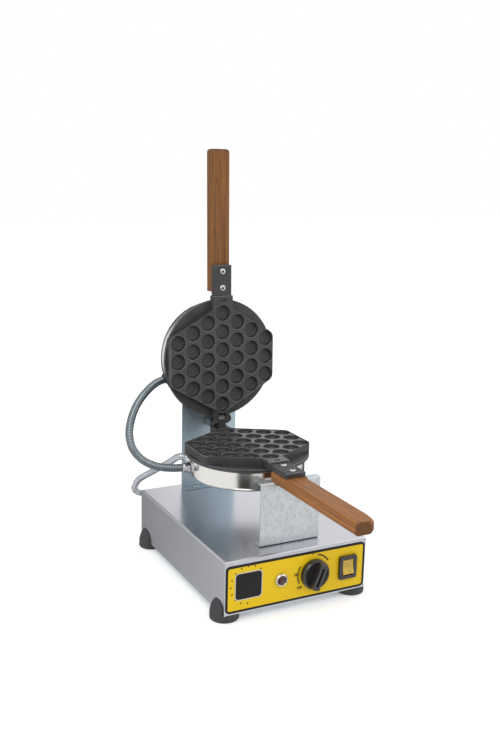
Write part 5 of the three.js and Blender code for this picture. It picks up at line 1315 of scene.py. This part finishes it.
def make_fittings():
    """Conduit fittings on the drums, and the two glands in the rear panel."""
    for iron, kind, place, angle, end, collar in (
            ("lower", "lower", LOWER_PLACE, LOWER_HOSE_ANGLE, 100.3, "nickel_fitting"),
            ("lower", "supply", LOWER_PLACE, SUPPLY_HOSE_ANGLE, 100.3, "nickel_fitting"),
            ("lid", "lid", LID_PLACE, 180 - LID_HOSE_ANGLE, 94.3, "dark_steel")):
        name, body = kind + "_conduit_fitting", iron + "_iron"
        out = place @ Matrix.Translation((0, 0, FITTING_Z)) @ Matrix.Rotation(math.radians(-angle), 4, "Z") @ (
            ACROSS.inverted())
        fitted(name, lathe([
            (3.7, 84), (4.9, 84), (4.9, 89.6), (6.4, 89.6), (7, 90.2), (7, end - 0.7), (6.3, end), (5.6, end),
            (5.2, end - 1.3), (3.7, end - 1.3)], 40, closed=True), out, collar, body, [kind + "_fitting"])
        fitted(name + "_locknut", hexagon(15.2, 89.7, 92.6, 4.9), out, collar, body)
    for name, x, radius, material in (
            ("conduit_gland", ENTRY_X, 7.0, "nickel_fitting"), ("mains_gland", MAINS_X, 7.7, "black_nylon")):
        place = Matrix.Translation((x, 0, ENTRY_Z)) @ TO_REAR
        fitted(name + "_sleeve", lathe([
            (3.85, 227.5), (5.5, 227.5), (5.5, 233.2), (radius - 0.6, 233.2), (radius, 233.8), (radius, 250.2),
            (radius - 0.8, 251), (3.85, 251)], 40, closed=True), place, material, "base", [name])
        fitted(name + "_sleeve_collar", hexagon(radius * 2 * 0.99, 233.1, 236.9, 5.6), place, material, "base")


# Controls

def make_lamp():
    """Pilot lamp: bright ring and a domed dark red lens."""
    place = Matrix.Translation((LAMP_X, CONTROL_FRONT, CONTROL_Z)) @ UPRIGHT
    fitted("lamp_ring", lathe([
        (6.9, 0), (10, 0), (10, 1.4), (9.7, 2.4), (9.1, 3.3), (8.4, 3.8), (7.6, 4), (7.1, 3.7), (6.9, 3.2)],
        56, closed=True), place, "chrome_ring", "base", ["lamp_bezel"], sharp=60)
    radius, edge, dome = 6.6, 2.6, 2.2
    profile = [(0, 0.3), (radius, 0.3)] + arc_points(0, edge, radius, 0, 90, 8, dome)[:-1] + [(0, edge + dome)]
    fitted("lamp_dome", lathe(profile), place, "red_lens", "base", ["lamp_lens"], sharp=60)


def make_knob():
    """Thermostat knob: chamfered skirt, dished face and a raised grip with a groove along it."""
    place = Matrix.Translation((KNOB_X, CONTROL_FRONT, CONTROL_Z)) @ UPRIGHT @ Matrix.Rotation(
        math.radians(-22), 4, "Z")
    rim, dish_radius, dish_depth = 9, 18.6, 2.6
    dish = [(dish_radius * math.sin(a), rim - dish_depth * math.cos(a) ** 0.8)
            for a in (QUARTER * k / 10 for k in range(11))]
    knob = keep("knob_moulding", lathe(
        [(0, 0), (21.2, 0), (22, 0.8), (22, 7), (21.7, 7.8), (20.4, 8.9), (19.6, rim)] + dish[::-1][:-1]
        + [(0, rim - dish_depth)], 96))
    grip = keep("grip", lathe([(0, 3), (20, 3), (20, 17.6), (19.4, 18.6), (18.6, 19), (0, 19)], 96))
    carve(grip, block(-6, 6, -24, 24, 0, 30), operation="INTERSECT")
    soften(carve(grip, rounded_block(-1.8, 1.8, -14.4, 14.4, 14, 25, 0.5)), 0.8, 3, 40)
    carve(knob, grip, operation="UNION")
    carve(knob, rod(19.8, -1, 4.4, 48))
    dress(put_in_place(knob, place), finish("phenolic"), "thermostat_knob", ["knob"])


def make_switch():
    """Rocker switch: a black housing with a raised frame, and a translucent amber rocker."""
    place = Matrix.Translation((SWITCH_X, CONTROL_FRONT, CONTROL_Z)) @ UPRIGHT
    bezel = soften(keep("switch_frame", prism(rectangle(-15, 15, -18, 18, 3.2), 0, 4.5)), 1.1, 3, 40)
    carve(bezel, block(-12, 12, -15, 15, -24, 0.3), operation="UNION")
    carve(bezel, prism(rectangle(-9.5, 9.5, -12.5, 12.5, 0.8), -9.5, 9))
    dress(put_in_place(bezel, place), finish("phenolic"), "base", ["switch_housing"])
    tip = Matrix.Translation((SWITCH_X, -85.1, CONTROL_Z)) @ Matrix.Rotation(math.radians(-7), 4, "X") @ UPRIGHT
    key = keep("rocker_key", prism(rectangle(-9.2, 9.2, -11, 11, 0.9), -3.5, 7.7))
    carve(key, moved(rod(40, -30, 30, 160), Matrix.Translation((0, 0, 46.5)) @ ACROSS))
    dress(put_in_place(soften(key, 0.5, 2, 40), tip), finish("amber_polycarbonate"), "rocker", ["switch_rocker"])


def make_inner_parts():
    """Finishes of the pieces inside the case and the drums."""
    for node, material in (
            ("lower_heater", "heater_casting"), ("lid_heater", "heater_casting"),
            ("lower_insulation", "mineral_wool"), ("lid_insulation", "mineral_wool"),
            ("terminal_block", "steatite"), ("lamp_body", "black_nylon"), ("thermostat_body", "bearing_steel"),
            ("thermostat_spindle", "brass")):
        paint_node(node, material)


# Stage

# Brightness of the studio's walls by heading in degrees, below and above the horizon
WALLS_BELOW = [
    (-180, 0.6), (-167, 0.5), (-160, 0.05), (-138, 0.04), (-132, 1.0), (-60, 1.0), (-34, 0.9), (-26, 0.7),
    (-21, 0.25), (-17, 0.1), (60, 0.1), (85, 0.9), (168, 0.95), (180, 0.6),
]
WALLS_ABOVE = [
    (-180, 0.8), (-167, 0.7), (-160, 0.1), (-138, 0.1), (-132, 1.0), (-60, 1.0), (-34, 0.9), (-26, 0.7),
    (-18, 0.12), (11, 0.12), (19, 0.7), (24, 1.0), (168, 1.0), (180, 0.8),
]
LIGHT_AIM = Vector((0, 0.05, 0.2))


def make_stage():
    """Camera at the photograph's viewing angle, pale floor and soft studio light."""
    scene = bpy.context.scene
    sizes = chosen("stage")
    heading, pitch, roll = sizes.camera_turn
    forward = Vector((math.sin(heading) * math.cos(pitch), math.cos(heading) * math.cos(pitch), -math.sin(pitch)))
    right = Vector((math.cos(heading), -math.sin(heading), 0))
    up = right.cross(forward)
    level, rise = right * math.cos(roll) + up * math.sin(roll), up * math.cos(roll) - right * math.sin(roll)
    lens = bpy.data.cameras.new("camera")
    lens.lens = sizes.lens
    lens.sensor_width = 36
    lens.clip_end = 100
    camera = add_object("camera", lens)
    turn = Matrix((level, rise, -forward)).transposed().to_4x4()
    camera.matrix_world = Matrix.Translation(sizes.camera_place) @ turn
    scene.camera = camera
    scene.view_settings.view_transform = "Standard"
    floor = keep("floor", block(-9000, 9000, -9000, 9000, -20, 0))
    floor.data.materials.append(finish("studio_floor"))
    floor.visible_glossy = False
    for name, place, size, power, colour in (
            ("key_light", (-1.2, -1.6, 1.9), 1.3, 24, (1.0, 0.99, 0.97)),
            ("fill_light", (1.7, -1.1, 1.0), 1.5, 5, (0.97, 0.98, 1.0)),
            ("top_light", (0.1, 0.5, 2.2), 1.4, 3, (1.0, 1.0, 1.0))):
        lamp = bpy.data.lights.new(name, "AREA")
        lamp.shape = "SQUARE"
        lamp.size, lamp.energy, lamp.color = size, power, colour
        aim = (LIGHT_AIM - Vector(place)).to_track_quat("-Z", "Y").to_matrix().to_4x4()
        add_object(name, lamp).matrix_world = Matrix.Translation(place) @ aim
    make_sky()


def make_sky():
    """White studio round the part, with dark walls and a dark gap for the metal to mirror."""
    world = bpy.data.worlds.new("studio")
    bpy.context.scene.world = world
    world.use_nodes = True
    tree = world.node_tree
    tree.nodes.clear()
    add = partial(put, tree)
    way = add("ShaderNodeTexCoord", out="Generated")
    parts = add("ShaderNodeSeparateXYZ", {"Vector": way}).outputs
    heading = add("ShaderNodeMath", {0: parts["X"], 1: parts["Y"]}, "Value", operation="ARCTAN2")
    turn = add("ShaderNodeMath", {0: heading, 1: 0.5 / math.pi, 2: 0.5}, "Value", operation="MULTIPLY_ADD")
    walls = []
    for stops in (WALLS_BELOW, WALLS_ABOVE):
        wall = add("ShaderNodeValToRGB", {"Fac": turn})
        wall.color_ramp.interpolation = "EASE"
        walls.append(ramp(wall, [((angle + 180) / 360, (bright,) * 3) for angle, bright in stops]))
    light, above = walls
    for high, start, end in ((above, -0.15, 0.1), (1.0, 0.4, 0.7)):
        light = add("ShaderNodeMapRange", {
            "Value": parts["Z"], "From Min": start, "From Max": end, "To Min": light, "To Max": high}, "Result",
            interpolation_type="SMOOTHSTEP")
    seen = add("ShaderNodeLightPath", out="Is Camera Ray")
    strength = add("ShaderNodeMath", {0: light, 1: seen}, "Value", operation="MAXIMUM")
    shine = add("ShaderNodeBackground", {"Color": (1, 1, 1, 1), "Strength": strength}, "Background")
    add("ShaderNodeOutputWorld", {"Surface": shine}).is_active_output = True


# Operators, one for each piece or group of like pieces

class WAFFLE_OT_stage(bpy.types.Operator):
    """Camera, floor and lights"""
    bl_idname = "waffle.stage"
    bl_label = "Stage"

    def execute(self, context):
        make_stage()
        return {"FINISHED"}


class WAFFLE_OT_conduits(bpy.types.Operator):
    """The two ribbed conduits"""
    bl_idname = "waffle.conduits"
    bl_label = "Conduits"

    def execute(self, context):
        make_conduits()
        return {"FINISHED"}


class WAFFLE_OT_case(bpy.types.Operator):
    """Folded case cover and the panels inside it"""
    bl_idname = "waffle.case"
    bl_label = "Case"

    def execute(self, context):
        make_case_cover()
        make_panels()
        return {"FINISHED"}


class WAFFLE_OT_label(bpy.types.Operator):
    """Printed front label"""
    bl_idname = "waffle.label"
    bl_label = "Label"

    def execute(self, context):
        make_label()
        return {"FINISHED"}


class WAFFLE_OT_feet(bpy.types.Operator):
    """Rubber feet"""
    bl_idname = "waffle.feet"
    bl_label = "Feet"

    def execute(self, context):
        make_feet()
        return {"FINISHED"}


class WAFFLE_OT_brackets(bpy.types.Operator):
    """Front and rear brackets"""
    bl_idname = "waffle.brackets"
    bl_label = "Brackets"

    def execute(self, context):
        make_rear_bracket()
        make_front_bracket()
        return {"FINISHED"}


class WAFFLE_OT_pivot(bpy.types.Operator):
    """Pivot bush, shaft and nut, and the hinge pin"""
    bl_idname = "waffle.pivot"
    bl_label = "Pivot and hinge"

    def execute(self, context):
        make_pivot()
        return {"FINISHED"}


class WAFFLE_OT_irons(bpy.types.Operator):
    """Lower and lid castings with their bubble cells"""
    bl_idname = "waffle.irons"
    bl_label = "Irons"

    def execute(self, context):
        make_lower_plate()
        make_lid_plate()
        return {"FINISHED"}


class WAFFLE_OT_drums(bpy.types.Operator):
    """Stainless drums and their nuts"""
    bl_idname = "waffle.drums"
    bl_label = "Drums"

    def execute(self, context):
        make_drums()
        return {"FINISHED"}


class WAFFLE_OT_handles(bpy.types.Operator):
    """Beech handles"""
    bl_idname = "waffle.handles"
    bl_label = "Handles"

    def execute(self, context):
        make_handles()
        return {"FINISHED"}


class WAFFLE_OT_screws(bpy.types.Operator):
    """Bracket, foot and handle screws"""
    bl_idname = "waffle.screws"
    bl_label = "Screws"

    def execute(self, context):
        make_screws()
        return {"FINISHED"}


class WAFFLE_OT_fittings(bpy.types.Operator):
    """Conduit fittings and glands"""
    bl_idname = "waffle.fittings"
    bl_label = "Fittings"

    def execute(self, context):
        make_fittings()
        return {"FINISHED"}


class WAFFLE_OT_lamp(bpy.types.Operator):
    """Pilot lamp"""
    bl_idname = "waffle.lamp"
    bl_label = "Lamp"

    def execute(self, context):
        make_lamp()
        return {"FINISHED"}


class WAFFLE_OT_knob(bpy.types.Operator):
    """Thermostat knob"""
    bl_idname = "waffle.knob"
    bl_label = "Knob"

    def execute(self, context):
        make_knob()
        return {"FINISHED"}


class WAFFLE_OT_switch(bpy.types.Operator):
    """Rocker switch"""
    bl_idname = "waffle.switch"
    bl_label = "Switch"

    def execute(self, context):
        make_switch()
        return {"FINISHED"}


class WAFFLE_OT_inner_parts(bpy.types.Operator):
    """Finishes of the inner pieces"""
    bl_idname = "waffle.inner_parts"
    bl_label = "Inner parts"

    def execute(self, context):
        make_inner_parts()
        return {"FINISHED"}


OPERATORS = (
    WAFFLE_OT_stage, WAFFLE_OT_conduits, WAFFLE_OT_case, WAFFLE_OT_label, WAFFLE_OT_feet, WAFFLE_OT_brackets,
    WAFFLE_OT_pivot, WAFFLE_OT_irons, WAFFLE_OT_drums, WAFFLE_OT_handles, WAFFLE_OT_screws, WAFFLE_OT_fittings,
    WAFFLE_OT_lamp, WAFFLE_OT_knob, WAFFLE_OT_switch, WAFFLE_OT_inner_parts,
)


class WAFFLE_PT_sidebar(bpy.types.Panel):
    """Sizes, colours and pieces of the waffle maker"""
    bl_label = "Waffle maker"
    bl_idname = "WAFFLE_PT_sidebar"
    bl_space_type = "VIEW_3D"
    bl_region_type = "UI"
    bl_category = "Waffle maker"

    def draw(self, context):
        for name, group in SIZE_GROUPS.items():
            box = self.layout.box()
            for key in group.__annotations__:
                box.prop(getattr(context.scene, name), key)
        for operator in OPERATORS:
            self.layout.operator(operator.bl_idname)


def register():
    for name, group in SIZE_GROUPS.items():
        bpy.utils.register_class(group)
        setattr(bpy.types.Scene, name, PointerProperty(type=group))
    for item in (*OPERATORS, WAFFLE_PT_sidebar):
        bpy.utils.register_class(item)


def unregister():
    for item in reversed((*OPERATORS, WAFFLE_PT_sidebar)):
        bpy.utils.unregister_class(item)
    for name, group in SIZE_GROUPS.items():
        delattr(bpy.types.Scene, name)
        bpy.utils.unregister_class(group)


def main():
    """Builds every piece in order."""
    register()
    for operator in OPERATORS:
        group, name = operator.bl_idname.split(".")
        getattr(getattr(bpy.ops, group), name)()


if __name__ == "__main__":
    main()
